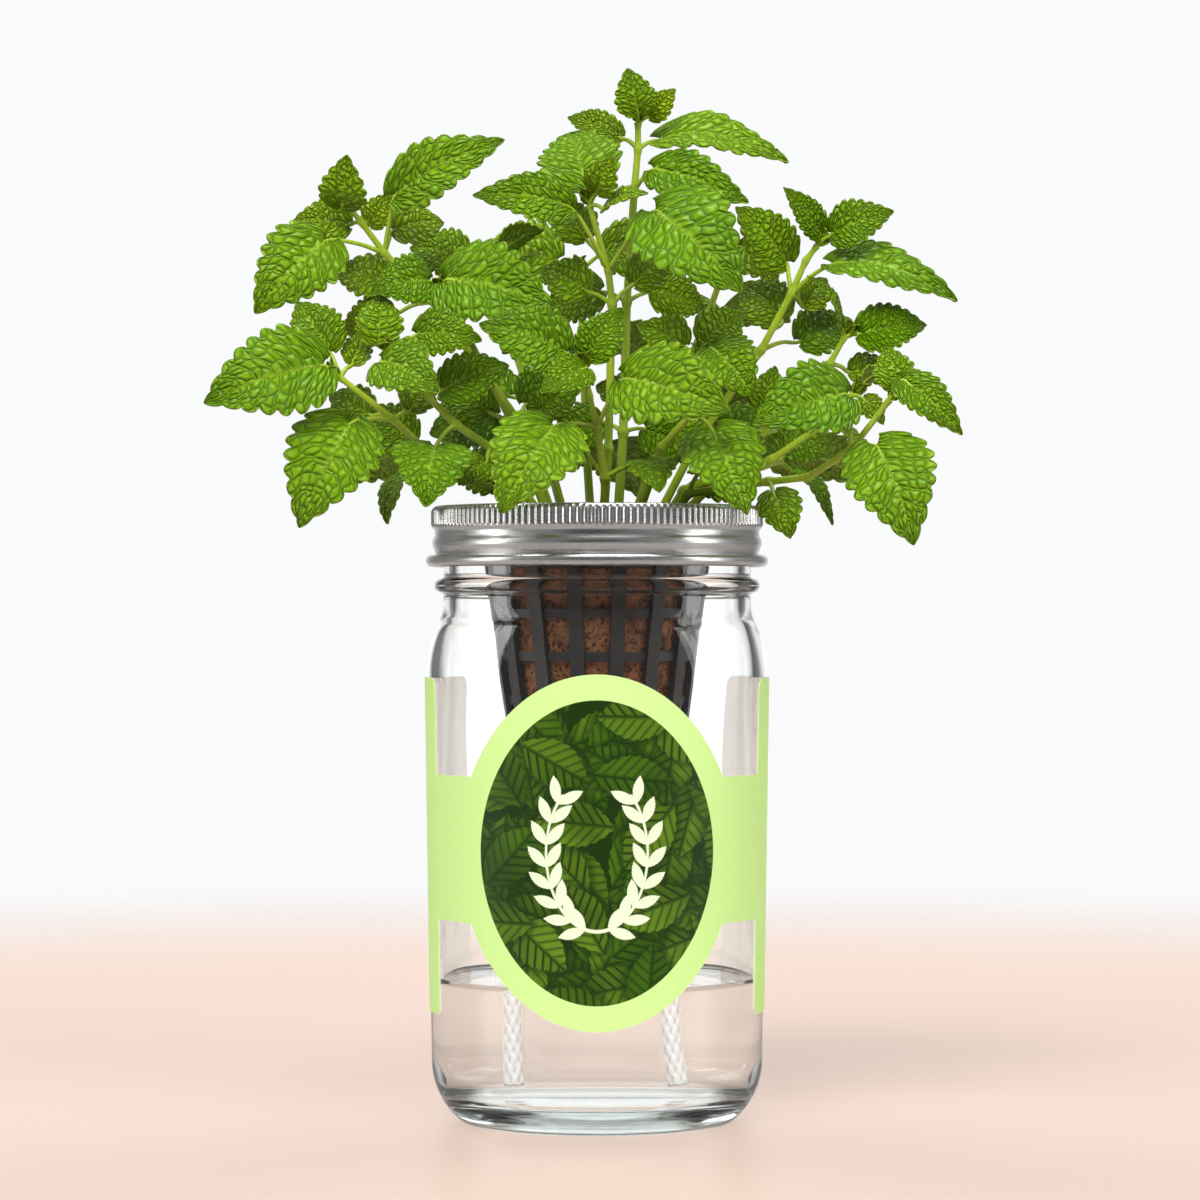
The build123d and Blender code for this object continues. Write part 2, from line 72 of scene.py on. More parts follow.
wave_low = 20
wave_high = 132
wave_depth = 0.07


def arc(start, heading, end, steps):
    """Points after start on the arc that leaves it along heading and stops at end."""
    start, end = Vector(start), Vector(end)
    across = Vector((-heading[1], heading[0])).normalized()
    chord = end - start
    radius = chord.length_squared / (2 * chord.dot(across))
    centre = start + across * radius
    first = atan2(start.y - centre.y, start.x - centre.x)
    last = atan2(end.y - centre.y, end.x - centre.x)
    if radius > 0 and last < first:
        last += 2 * pi
    if radius < 0 and last > first:
        last -= 2 * pi
    angles = [first + (last - first) * (step + 1) / steps for step in range(steps)]
    return [centre + Vector((cos(angle), sin(angle))) * abs(radius) for angle in angles]


def leaving(heading, start, end):
    """Heading at the far end of the arc that leaves start along heading."""
    chord = (end - start).normalized()
    return chord * (2 * chord.dot(heading)) - heading


def jar_wall(inset, foot_radius, foot_height):
    """Points (radius, height) up one side of the jar's wall, from its foot to its neck."""
    moved = Vector((-inset, 0))
    heel, shoulder, neck = jar_heel + moved, jar_shoulder + moved, jar_neck + moved
    turn = shoulder + (neck - shoulder) * shoulder_turn
    rise = (shoulder - heel).normalized()
    foot = arc(heel, -rise, (foot_radius, foot_height), 14)
    body = [heel + (shoulder - heel) * step / 24 for step in range(25)]
    crown = arc(shoulder, rise, turn, 14)
    hollow = arc(turn, leaving(rise, shoulder, turn), neck, 10)
    return foot[::-1] + body + crown + hollow


def profile_line(points):
    """Edges of a profile in (radius, height) millimetres."""
    bm = bmesh.new()
    chain = [bm.verts.new((radius * mm, 0, height * mm)) for radius, height in points]
    for low, high in zip(chain, chain[1:]):
        bm.edges.new((low, high))
    return bm


def spin_round(bm, steps):
    """Spins a profile into a closed skin about the jar's axis."""
    bmesh.ops.spin(
        bm,
        geom=bm.verts[:] + bm.edges[:],
        cent=(0, 0, 0),
        axis=(0, 0, 1),
        angle=2 * pi,
        steps=steps,
        use_merge=True,
    )
    bmesh.ops.remove_doubles(bm, verts=bm.verts[:], dist=1e-6)
    bmesh.ops.recalc_face_normals(bm, faces=bm.faces[:])


def new_piece(name, bm, material, body, slot, *nodes):
    """Smooth object at the origin that rides on a body, in place of its CAD nodes."""
    mesh = bpy.data.meshes.new(name)
    bm.to_mesh(mesh)
    bm.free()
    mesh.shade_smooth()
    mesh.materials.append(material)
    piece = bpy.data.objects.new(name, mesh)
    bpy.context.scene.collection.objects.link(piece)
    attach(piece, body)
    if nodes:
        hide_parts(*nodes)
    return piece


def finish(name):
    """Material with its node tree and its Principled shader."""
    material = bpy.data.materials.new(name)
    material.use_nodes = True
    tree = material.node_tree
    return material, tree, tree.nodes["Principled BSDF"]


def plug(tree, socket, value):
    """Links a node's output to a socket, or sets the socket to a plain value."""
    if isinstance(value, bpy.types.NodeSocket):
        tree.links.new(value, socket)
    else:
        socket.default_value = value


def node(tree, kind, sockets=(), **settings):
    """Shader node of a kind, with its settings and its inputs by name or number."""
    made = tree.nodes.new("ShaderNode" + kind)
    for name, value in settings.items():
        setattr(made, name, value)
    for key, value in dict(sockets).items():
        plug(tree, made.inputs[key], value)
    return made


def calc(tree, operation, *values):
    """Result of a math node."""
    return node(tree, "Math", enumerate(values), operation=operation).outputs[0]


def place_on(tree):
    """Place on the piece, in the frame of the whole object."""
    return node(tree, "TexCoord").outputs["Object"]


def speckle(tree, place, scale, detail, **settings):
    """Noise over a place."""
    sockets = {"Vector": place, "Scale": scale, "Detail": detail}
    return node(tree, "TexNoise", sockets, **settings).outputs[0]


def relief(tree, shader, height, distance, strength=1.0):
    """Bump of a height in metres on the shader's normal."""
    sockets = {"Height": height, "Distance": distance, "Strength": strength}
    bump = node(tree, "Bump", sockets)
    plug(tree, shader.inputs["Normal"], bump.outputs["Normal"])


def clear_finish(name, tint, bending):
    """Finish of a clear smooth body with a tint and an index of refraction."""
    material, tree, shader = finish(name)
    shader.inputs["Base Color"].default_value = tint
    shader.inputs["Roughness"].default_value = 0.0
    shader.inputs["IOR"].default_value = bending
    shader.inputs["Transmission Weight"].default_value = 1.0
    return material, tree, shader


def let_light_by(tree, surface, share, tint):
    """Surface that lets a tinted share of the soft light fall through it."""
    path = node(tree, "LightPath")
    passing = calc(tree, "MAXIMUM", path.outputs["Is Shadow Ray"], path.outputs["Is Diffuse Ray"])
    open_way = node(tree, "BsdfTransparent", {"Color": tint}).outputs[0]
    both = node(tree, "MixShader", {0: calc(tree, "MULTIPLY", passing, share), 1: surface, 2: open_way})
    plug(tree, tree.nodes["Material Output"].inputs["Surface"], both.outputs[0])


base_dome = arc((0, base_push_up), (1, 0), (base_ring_radius, 0), 8)
outer_wall = jar_wall(0, jar_foot_radius, 0)
inner_wall = jar_wall(glass_wall, jar_floor_radius, jar_floor_height)
neck_radius = jar_neck.x
mouth_radius = neck_radius - glass_wall
bead = [(neck_radius, bead_low), (neck_radius + 0.1, bead_low + bead_fillet)]
for step in range(15):
    turn = pi * (step - 7) / 16
    bead.append((bead_centre + bead_round * cos(turn), bead_height + bead_round * sin(turn)))
bead += [(neck_radius + 0.1, bead_high - bead_fillet), (neck_radius, bead_high)]
finish_rows = [(neck_radius, finish_low + finish_row * step) for step in range(36)]
rim = arc((neck_radius, rim_height - rim_round), (0, 1), (neck_radius - rim_round, rim_height), 5)
rim += [(mouth_radius + rim_round, rim_height)]
rim += arc(rim[-1], (-1, 0), (mouth_radius, rim_height - rim_round), 5)
outside = [(0, base_push_up)] + base_dome + outer_wall + bead + finish_rows + rim
inside = inner_wall[::-1] + [(jar_floor_radius * share, jar_floor_height) for share in (0.7, 0.35, 0)]
bm = profile_line(outside + inside)
spin_round(bm, 192)
for vert in bm.verts:
    radius = vert.co.xy.length / mm
    height = vert.co.z / mm
    angle = atan2(vert.co.y, vert.co.x) % (2 * pi)
    swell = 0.0
    if radius > neck_radius - 0.2 and finish_low < height < finish_top:
        for lap in (0, 1):
            along = angle / (2 * pi) + lap
            if along < thread_turns:
                gap = abs(height - thread_low - thread_pitch * along) / thread_half_width
                taper = min(1, along * 12, (thread_turns - along) * 12)
                swell = max(swell, thread_proud * taper * max(0, 1 - gap * gap))
    elif 30 < radius < 43 and wave_low < height < wave_high:
        swell = wave_depth * (sin(3 * angle + height * 0.05) + sin(7 * angle - height * 0.11))
    if swell and radius:
        vert.co.xy *= 1 + swell / radius
clear_glass, tree, shader = clear_finish("clear_glass", (0.993, 1.0, 0.997, 1), 1.5)
stretched = node(tree, "Mapping", {"Vector": place_on(tree), "Scale": (1.0, 1.0, 0.35)}).outputs[0]
relief(tree, shader, speckle(tree, stretched, 60.0, 1.0), 0.00025, 0.25)
depth = node(tree, "VolumeAbsorption", {"Color": (0.62, 0.9, 0.82, 1), "Density": 4.0})
plug(tree, tree.nodes["Material Output"].inputs["Volume"], depth.outputs[0])
let_light_by(tree, shader.outputs[0], 1.0, (0.975, 0.985, 0.98, 1))
new_piece("jar_glass", bm, clear_glass, "jar", "clear_glass", "glass_jar")

# Water: a shallow fill of clear nutrient water that wets the glass, so its edge climbs the wall
# a little. It has no gap to the glass that it touches.
water_level = 37.5
meniscus_rise = 0.8
meniscus_reach = 2.2
wetting = 0.12
below = jar_wall(glass_wall - wetting, jar_floor_radius, jar_floor_height - wetting)
below = [point for point in below if point.y < water_level]
brim = jar_heel.x - glass_wall + wetting + (water_level - jar_heel.y) * wall_slope
surface = []
for step in range(9):
    share = step / 8
    surface.append((brim - meniscus_reach * share, water_level + meniscus_rise * (1 - share) ** 2))
calm = [(brim * share, water_level) for share in (0.6, 0.3, 0)]
bm = profile_line([(0, jar_floor_height - wetting)] + below + surface + calm)
spin_round(bm, 128)
clear_water, tree, shader = clear_finish("clear_water", (0.996, 1.0, 1.0, 1), 1.33)
relief(tree, shader, speckle(tree, place_on(tree), 45.0, 1.0), 0.0003, 0.2)
let_light_by(tree, shader.outputs[0], 1.0, (0.985, 0.99, 0.99, 1))
new_piece("water_fill", bm, clear_water, "jar", "water", "water")

# Label: a die-cut vinyl wrap in lime green, stuck on the body of the jar. Its front oval carries
# a plain print of leaves and a wreath, and its greyish paper back shows through the glass.
lime = (0.58, 0.88, 0.295, 1)
lime_grain = (0.72, 0.9, 0.45, 1)
paper_back = (0.88, 0.86, 0.85, 1)
print_dark = (0.01, 0.034, 0.003, 1)
print_mid = (0.05, 0.14, 0.004, 1)
print_light = (0.19, 0.34, 0.02, 1)
print_pale = (0.8, 0.9, 0.66, 1)
printed_leaf_length = 21.0
printed_leaf_width = 12.0
print_layers = 7
layer_shift = Vector((37.0, 53.0, 0))
oval_centre = 73.3
oval_half_width = 30.0
oval_half_height = 39.1
wreath_half_width = 13.0
wreath_half_height = 20.0
wreath_top = 15.0
wreath_leaves = 8
wreath_start = -1.35
wreath_step = 0.29
wreath_lean = 0.62
wreath_leaf_length = 7.4
wreath_leaf_width = 2.9
label_mid_sheet = 0.25
label_glow = 0.92
paper_glow = 0.85


def graded(tree, value, low, high, start=0.0, end=1.0):
    """Value moved smoothly from start to end as it goes from low to high."""
    limits = {"Value": value, "From Min": low, "From Max": high, "To Min": start, "To Max": end}
    return node(tree, "MapRange", limits, interpolation_type="SMOOTHSTEP").outputs[0]


def tinted(tree, share, first, second):
    """Colour between two others."""
    return node(tree, "Mix", {0: share, 6: first, 7: second}, data_type="RGBA").outputs[2]


def vector(tree, operation, *values):
    """Result of a vector math node."""
    made = node(tree, "VectorMath", enumerate(values), operation=operation)
    return made.outputs["Value" if operation == "LENGTH" else "Vector"]


def coat(tree, shader, colour, roughness):
    """Gives the shader its colour and roughness."""
    plug(tree, shader.inputs["Base Color"], colour)
    plug(tree, shader.inputs["Roughness"], roughness)


def new_group(name, kind, inputs, outputs):
    """Shader node group with the sockets that it is given and those of its result."""
    group = bpy.data.node_groups.new(name, "ShaderNodeTree")
    for socket in inputs:
        group.interface.new_socket(socket, in_out="INPUT", socket_type=kind)
    for socket in outputs:
        group.interface.new_socket(socket, in_out="OUTPUT", socket_type="NodeSocketFloat")
    given = group.nodes.new("NodeGroupInput")
    result = group.nodes.new("NodeGroupOutput")
    return group, given.outputs, result.inputs


leaf_print, given, result = new_group(
    "printed_leaf", "NodeSocketVector", ["Vector"], ["Blade", "Tone", "Shade"]
)
tree = leaf_print
apart = node(tree, "SeparateXYZ", {0: given[0]}).outputs
along, across = apart[0], calc(tree, "ABSOLUTE", apart[1])
teeth = calc(tree, "ABSOLUTE", calc(tree, "SINE", calc(tree, "MULTIPLY", along, 15.0)))
body = calc(tree, "SUBTRACT", 1.0, calc(tree, "MULTIPLY", along, along))
body = calc(tree, "MULTIPLY_ADD", teeth, 0.08, body)
margin = calc(tree, "SUBTRACT", body, across)
slant = calc(tree, "ADD", calc(tree, "MULTIPLY", across, -0.45), along)
stripe = calc(tree, "PINGPONG", calc(tree, "MULTIPLY", slant, 4.0), 0.5)
puff = calc(tree, "MINIMUM", graded(tree, stripe, 0.0, 0.3), graded(tree, across, 0.0, 0.16))
lit_half = calc(tree, "GREATER_THAN", apart[1], 0.0)
tone = calc(tree, "MULTIPLY_ADD", puff, 0.55, calc(tree, "MULTIPLY", lit_half, 0.25))
plug(tree, result[0], graded(tree, margin, 0.06, 0.1))
plug(tree, result[1], tone)
plug(tree, result[2], graded(tree, margin, -0.5, 0.1))


def printed_leaf(tree, place):
    """Blade, tone and shade of a printed leaf at a place that runs from -1 to 1 on it."""
    leaf = node(tree, "Group", {}, node_tree=leaf_print)
    plug(tree, leaf.inputs[0], place)
    return leaf.outputs


label_print, tree, shader = finish("label_print")
spot = place_on(tree)
apart = node(tree, "SeparateXYZ", {0: spot}).outputs
flat = node(tree, "CombineXYZ", {0: apart[0], 1: apart[2]}).outputs[0]
laid = {"Vector": flat, "Location": (0, oval_centre * mm, 0), "Scale": (mm, mm, mm)}
sheet = node(tree, "Mapping", laid, vector_type="TEXTURE").outputs[0]
picture = print_dark
scale = 1 / printed_leaf_length
for layer in range(print_layers):
    shifted = vector(tree, "ADD", sheet, layer_shift * layer)
    scatter = {"Vector": shifted, "Scale": scale, "Randomness": 0.6}
    cells = node(tree, "TexVoronoi", scatter, voronoi_dimensions="2D")
    local = vector(tree, "SUBTRACT", shifted, cells.outputs["Position"])
    chance = node(tree, "SeparateColor", {0: cells.outputs["Color"]}).outputs
    spin = calc(tree, "MULTIPLY", chance[0], 2 * pi)
    turned = node(tree, "VectorRotate", {"Vector": local, "Angle": spin}, rotation_type="Z_AXIS").outputs[0]
    sized = node(tree, "Mapping", {"Vector": turned, "Scale": (2 * scale, 2 / printed_leaf_width, 1)})
    blade, tone, shade = printed_leaf(tree, sized.outputs[0])
    nearness = (layer + 1) / print_layers
    light = tinted(tree, calc(tree, "MULTIPLY", chance[1], nearness), print_mid, print_light)
    picture = tinted(tree, calc(tree, "MULTIPLY", shade, 0.7), picture, print_dark)
    picture = tinted(tree, blade, picture, tinted(tree, tone, print_dark, light))
soft = speckle(tree, sheet, 0.05, 2.0, noise_dimensions="2D")
picture = tinted(tree, graded(tree, soft, 0.35, 0.75, 0.0, 0.6), picture, print_dark)
across, up = node(tree, "SeparateXYZ", {0: sheet}).outputs[:2]
halved = node(tree, "CombineXYZ", {0: calc(tree, "ABSOLUTE", across), 1: up}).outputs[0]
bent = {"Vector": halved, "Scale": (1 / wreath_half_width, 1 / wreath_half_height, 1)}
off_stem = calc(tree, "SUBTRACT", vector(tree, "LENGTH", node(tree, "Mapping", bent).outputs[0]), 1.0)
stem_line = graded(tree, calc(tree, "ABSOLUTE", off_stem), 0.03, 0.018)
motif = calc(tree, "MULTIPLY", stem_line, graded(tree, up, wreath_top + 0.2, wreath_top - 0.2))
for count in range(wreath_leaves):
    turn = wreath_start + count * wreath_step
    root = Vector((wreath_half_width * cos(turn), wreath_half_height * sin(turn)))
    onward = atan2(wreath_half_height * cos(turn), -wreath_half_width * sin(turn))
    for lean in (-wreath_lean, wreath_lean):
        way = Vector((cos(onward + lean), sin(onward + lean)))
        middle = root + way * wreath_leaf_length / 2
        sprouting = {
            "Vector": halved,
            "Location": (middle.x, middle.y, 0),
            "Rotation": (0, 0, onward + lean),
            "Scale": (wreath_leaf_length / 2, wreath_leaf_width / 2, 1),
        }
        blade = printed_leaf(tree, node(tree, "Mapping", sprouting, vector_type="TEXTURE").outputs[0])[0]
        motif = calc(tree, "MAXIMUM", motif, blade)
picture = tinted(tree, calc(tree, "MULTIPLY", motif, 0.92), picture, print_pale)
rounded = {"Vector": sheet, "Scale": (1 / oval_half_width, 1 / oval_half_height, 0)}
oval_reach = vector(tree, "LENGTH", node(tree, "Mapping", rounded).outputs[0])
front = graded(tree, apart[1], 0.0, -0.001)
inside_oval = calc(tree, "MULTIPLY", graded(tree, oval_reach, 1.002, 0.998), front)
grain = speckle(tree, spot, 900.0, 3.0)
ground = tinted(tree, graded(tree, grain, 0.3, 0.7, 0.0, 0.12), lime, lime_grain)
printed = tinted(tree, inside_oval, ground, picture)
radius = vector(tree, "LENGTH", vector(tree, "MULTIPLY", spot, (1, 1, 0)))
proud = calc(tree, "SUBTRACT", radius, calc(tree, "MULTIPLY", apart[2], wall_slope))
glass_skin = jar_heel.x - jar_heel.y * wall_slope
outer_face = calc(tree, "GREATER_THAN", proud, (glass_skin + label_mid_sheet) * mm)
skin = tinted(tree, outer_face, paper_back, printed)
coat(tree, shader, skin, graded(tree, grain, 0.2, 0.8, 0.42, 0.55))
shader.inputs["Specular IOR Level"].default_value = 0.2
relief(tree, shader, grain, 0.00003, 0.4)
lit_through = node(tree, "BsdfTranslucent", {"Color": (0.93, 0.91, 0.9, 1)}).outputs[0]
backed = calc(tree, "MULTIPLY", calc(tree, "SUBTRACT", 1.0, outer_face), paper_glow)
vinyl = node(tree, "MixShader", {0: backed, 1: shader.outputs[0], 2: lit_through}).outputs[0]
let_light_by(tree, vinyl, label_glow, (0.97, 0.95, 0.94, 1))
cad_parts["label"].material_slots[0].material = label_print

# Wicks: two limp braided cotton cords, each pushed up into the coir through a hole in the pot's
# floor and hanging down into the water. Their cut ends rest near the jar's floor.
wick_diameter = 4.4
wick_sides = 40
wick_carriers = 6
wick_lay = 0.62
wick_relief = 0.5
wick_routes = {
    "wick_left": [
        (-16.0, 0.0, 97.8),
        (-16.2, 0.2, 80.0),
        (-17.4, 0.4, 55.0),
        (-17.6, -0.6, 32.0),
        (-16.8, -1.0, 10.3),
    ],
    "wick_right": [
        (16.0, 0.0, 97.8),
        (15.8, 0.2, 80.0),
        (14.6, 0.4, 55.0),
        (14.2, -0.2, 32.0),
        (16.4, -1.0, 10.3),
    ],
}
cotton, tree, shader = finish("braided_cotton")
strand = node(tree, "Attribute", attribute_name="braid").outputs["Fac"]
fuzz = speckle(tree, place_on(tree), 2600.0, 4.0)
# painted shade: the cotton is greyer down in the braid's valleys and white on its crowns
yarn_with_painted_shade = tinted(tree, graded(tree, strand, 0.0, 0.7), (0.62, 0.62, 0.61, 1), (0.98, 0.98, 0.98, 1))
coat(tree, shader, yarn_with_painted_shade, graded(tree, fuzz, 0.2, 0.8, 0.75, 0.95))
shader.inputs["Sheen Weight"].default_value = 0.25
relief(tree, shader, fuzz, 0.00012, 0.6)


def smooth_line(name, route):
    """Points read from a NURBS line whose control points are the route in millimetres."""
    line = bpy.data.curves.new(name, "CURVE")
    line.dimensions = "3D"
    line.resolution_u = 70
    spline = line.splines.new("NURBS")
    spline.points.add(len(route) - 1)
    for point, place in zip(spline.points, route):
        point.co = (*(Vector(place) * mm), 1)
    spline.order_u = 3
    spline.use_endpoint_u = True
    carrier = bpy.data.objects.new(name, line)
    mesh = bpy.data.meshes.new_from_object(carrier)
    points = [vert.co.copy() for vert in mesh.vertices]
    bpy.data.objects.remove(carrier)
    bpy.data.meshes.remove(mesh)
    bpy.data.curves.remove(line)
    return points


for name, route in wick_routes.items():
    points = smooth_line(name + "_line", route)
    bm = bmesh.new()
    braid = bm.verts.layers.float.new("braid")
    rings = []
    travelled = 0.0
    for index, point in enumerate(points):
        ahead = points[min(index + 1, len(points) - 1)] - points[max(index - 1, 0)]
        if index:
            travelled += (point - points[index - 1]).length / mm
        facing = Vector((0, 0, -1)).rotation_difference(ahead).to_matrix().to_4x4()
        facing.translation = point
        round_of = {"segments": wick_sides, "radius": wick_diameter / 2 * mm, "matrix": facing}
        ring = bmesh.ops.create_circle(bm, **round_of)["verts"]
        for step, vert in enumerate(ring):
            turn = 2 * pi * step / wick_sides * wick_carriers / 2
            first, second = turn + travelled * wick_lay, turn - travelled * wick_lay
            over = 0.5 + 0.5 * sin(2 * first) * sin(2 * second)
            crown = over * abs(cos(first)) + (1 - over) * abs(cos(second))
            vert[braid] = crown
            vert.co = point + (vert.co - point) * (1 - wick_relief * (1 - crown) / wick_diameter * 2)
        rings.append(ring)
    for ring, above in zip(rings, rings[1:]):
        for step in range(wick_sides):
            after = (step + 1) % wick_sides
            bm.faces.new((ring[step], ring[after], above[after], above[step]))
    bm.faces.new(rings[0][::-1])
    bm.faces.new(rings[-1])
    bmesh.ops.recalc_face_normals(bm, faces=bm.faces[:])
    cord = new_piece(name + "_cord", bm, cotton, "pot", "cotton_wick", name)

# Coir plug: coconut fibre pressed to a tapered plug, brown with dark flecks of husk, with loose
# fibres on its skin. It is dropped into the net pot and holds the roots.
coir_low = 90.0
coir_high = 150.0
coir_low_radius = 19.52
coir_high_radius = 28.0
coir_rough = 0.35
coir_rings = 48
lid_rings = 12
lid_steps = {coir_low: 1.3, coir_high: 1.9}
fibre_count = 700
husk_tones = (0.1, 0.04, 0.017, 1), (0.31, 0.135, 0.06, 1)
fleck_tone = (0.012, 0.005, 0.003, 1)
fibre_tone = (0.42, 0.24, 0.12, 1)


def coir_reach(height):
    """Radius of the plug at a height."""
    taper = (coir_high_radius - coir_low_radius) / (coir_high - coir_low)
    return coir_low_radius + taper * (height - coir_low)


bm = bmesh.new()
bmesh.ops.create_cone(
    bm,
    cap_ends=False,
    segments=144,
    radius1=coir_low_radius * mm,
    radius2=coir_high_radius * mm,
    depth=(coir_high - coir_low) * mm,
)
upright = [edge for edge in bm.edges if abs(edge.verts[0].co.z - edge.verts[1].co.z) > mm]
bmesh.ops.subdivide_edges(bm, edges=upright, cuts=coir_rings, use_grid_fill=True)
for level, lid_step in lid_steps.items():
    edge_height = (level - (coir_low + coir_high) / 2) * mm
    loop = [edge for edge in bm.edges if all(abs(vert.co.z - edge_height) < 1e-6 for vert in edge.verts)]
    lid = bmesh.ops.edgeloop_fill(bm, edges=loop)["faces"]
    for ring in range(lid_rings):
        bmesh.ops.inset_region(bm, faces=lid, thickness=lid_step * mm, use_even_offset=True)
bmesh.ops.translate(bm, verts=bm.verts[:], vec=(0, 0, (coir_low + coir_high) / 2 * mm))
bm.normal_update()
for vert in bm.verts:
    lump = noise.fractal(vert.co * 260, 0.8, 2.2, 4) * 0.5 + 0.5
    vert.co -= vert.normal * max(0, min(1.4, 1 - lump)) * coir_rough * mm
draw = random.Random(7)
fibre = bm.verts.layers.float.new("fibre")
for count in range(fibre_count):
    on_top = count % 3 == 0
    angle = draw.uniform(0, 2 * pi)
    if on_top:
        reach = coir_high_radius * draw.uniform(0.05, 0.93)
        start = Vector((reach * cos(angle), reach * sin(angle), coir_high + 0.1))
        run = Vector((draw.uniform(-1, 1), draw.uniform(-1, 1), draw.uniform(0.0, 0.35)))
    else:
        height = draw.uniform(coir_low + 2, coir_high - 2)
        reach = coir_reach(height) - 0.12
        start = Vector((reach * cos(angle), reach * sin(angle), height))
        swing = draw.uniform(-1, 1)
        run = Vector((-sin(angle) * swing, cos(angle) * swing, draw.uniform(-0.6, 0.6)))
    run = run.normalized() * draw.uniform(2.5, 7.0)
    bend = Vector((draw.uniform(-0.6, 0.6), draw.uniform(-0.6, 0.6), draw.uniform(0.1, 0.5) if on_top else 0))
    trail = []
    for step in range(4):
        share = step / 3
        point = start + run * share + bend * (share * (1 - share) * 2)
        away = point.xy.length
        if not on_top and away > 1:
            point.xy *= (coir_reach(point.z) - 0.08) / away
        elif on_top and away > coir_high_radius - 0.6:
            point.xy *= (coir_high_radius - 0.6) / away
        thick = draw.uniform(0.09, 0.16) * (1 - 0.5 * share)
        corner = []
        for turn in (0, 2.1, 4.2):
            out = Vector((cos(turn), sin(turn), 0.6 * sin(turn + 1)))
            corner.append(bm.verts.new((point + out * thick) * mm))
        trail.append(corner)
    shade = draw.uniform(0.2, 1.0)
    for corner in trail:
        for vert in corner:
            vert[fibre] = shade
    for low, high in zip(trail, trail[1:]):
        for side in range(3):
            after = (side + 1) % 3
            bm.faces.new((low[side], low[after], high[after], high[side]))
coir, tree, shader = finish("pressed_coir")
spot = place_on(tree)
strand = node(tree, "Attribute", attribute_name="fibre").outputs["Fac"]
clumps = {"Vector": spot, "Scale": 260.0, "Detail": 6.0, "Roughness": 0.65}
clump = node(tree, "TexNoise", clumps).outputs[0]
fleck = 0.0
for scale, shift in ((420.0, 0.0), (600.0, 0.7), (520.0, 1.4)):
    moved = {"Vector": spot, "Location": (shift, shift, shift), "Scale": (scale, scale, scale)}
    shifted = node(tree, "Mapping", moved).outputs[0]
    cells = node(tree, "TexVoronoi", {"Vector": shifted, "Scale": 1.0}).outputs
    local = vector(tree, "SUBTRACT", shifted, cells["Position"])
    turn = vector(tree, "MULTIPLY", cells["Color"], (6.28, 6.28, 6.28))
    laid = node(tree, "VectorRotate", {"Vector": local, "Rotation": turn}, rotation_type="EULER_XYZ")
    reach = vector(tree, "LENGTH", vector(tree, "MULTIPLY", laid.outputs[0], (1.3, 7.0, 5.0)))
    fleck = calc(tree, "MAXIMUM", fleck, graded(tree, reach, 1.0, 0.7))
husk = tinted(tree, graded(tree, clump, 0.3, 0.7), *husk_tones)
husk = tinted(tree, calc(tree, "MULTIPLY", fleck, 0.85), husk, fleck_tone)
husk = tinted(tree, calc(tree, "MULTIPLY", strand, 0.8), husk, fibre_tone)
coat(tree, shader, husk, graded(tree, clump, 0.2, 0.8, 0.95, 0.8))
relief(tree, shader, calc(tree, "SUBTRACT", clump, fleck), 0.0004, 0.8)
new_piece("coir_plug_fibres", bm, coir, "pot", "coir", "coir_plug")

# Net pot: one black polypropylene moulding of tapered ribs and hoops over a slotted floor, hung
# by its flange between the jar's rim and the band. Its skin has a fine moulded grain.
pot_blacks = (0.012, 0.012, 0.013, 1), (0.024, 0.024, 0.026, 1)
black_plastic, tree, shader = finish("moulded_black")
spot = place_on(tree)
bloom = speckle(tree, spot, 90.0, 3.0)
black = tinted(tree, graded(tree, bloom, 0.3, 0.7), *pot_blacks)
coat(tree, shader, black, graded(tree, bloom, 0.2, 0.8, 0.36, 0.52))
relief(tree, shader, speckle(tree, spot, 2200.0, 2.0), 0.00004, 0.5)
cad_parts["net_pot"].material_slots[0].material = black_plastic

# Screw band: tinplate sheet roll-formed in one piece, with a flat lip, a knurled grip, a thread
# rolled into its side and a curled lower edge. It screws on and clamps the pot's flange.
sheet_thickness = 0.55
knurl_count = 150
knurl_low = 157.5
knurl_high = 162.5
knurl_ease = 0.5
knurl_depth = 0.5
roll_middle = 153.4
roll_half = 2.8
roll_climb = 0.55
roll_ends = 2.6
curl_centre = Vector((44.0, 148.4))
curl_radius = 1.32
band_corners = [
    (37.95, 162.72),
    (42.9, 162.72),
    (43.92, 161.75),
    (43.92, 157.8),
    (42.95, 156.5),
    (42.95, 154.9),
    (43.55, 153.9),
    (43.62, 152.9),
    (43.1, 151.4),
    (42.72, 150.2),
]
tinplate_tones = (0.7, 0.685, 0.675, 1), (0.88, 0.87, 0.86, 1)


def roll_rise(angle):
    """Climb of the rolled thread round the band, from -1 to 1, eased back where its ends meet."""
    if abs(angle) < roll_ends:
        return angle / pi
    return copysign(0.83 * (pi - abs(angle)) / 0.54, angle)


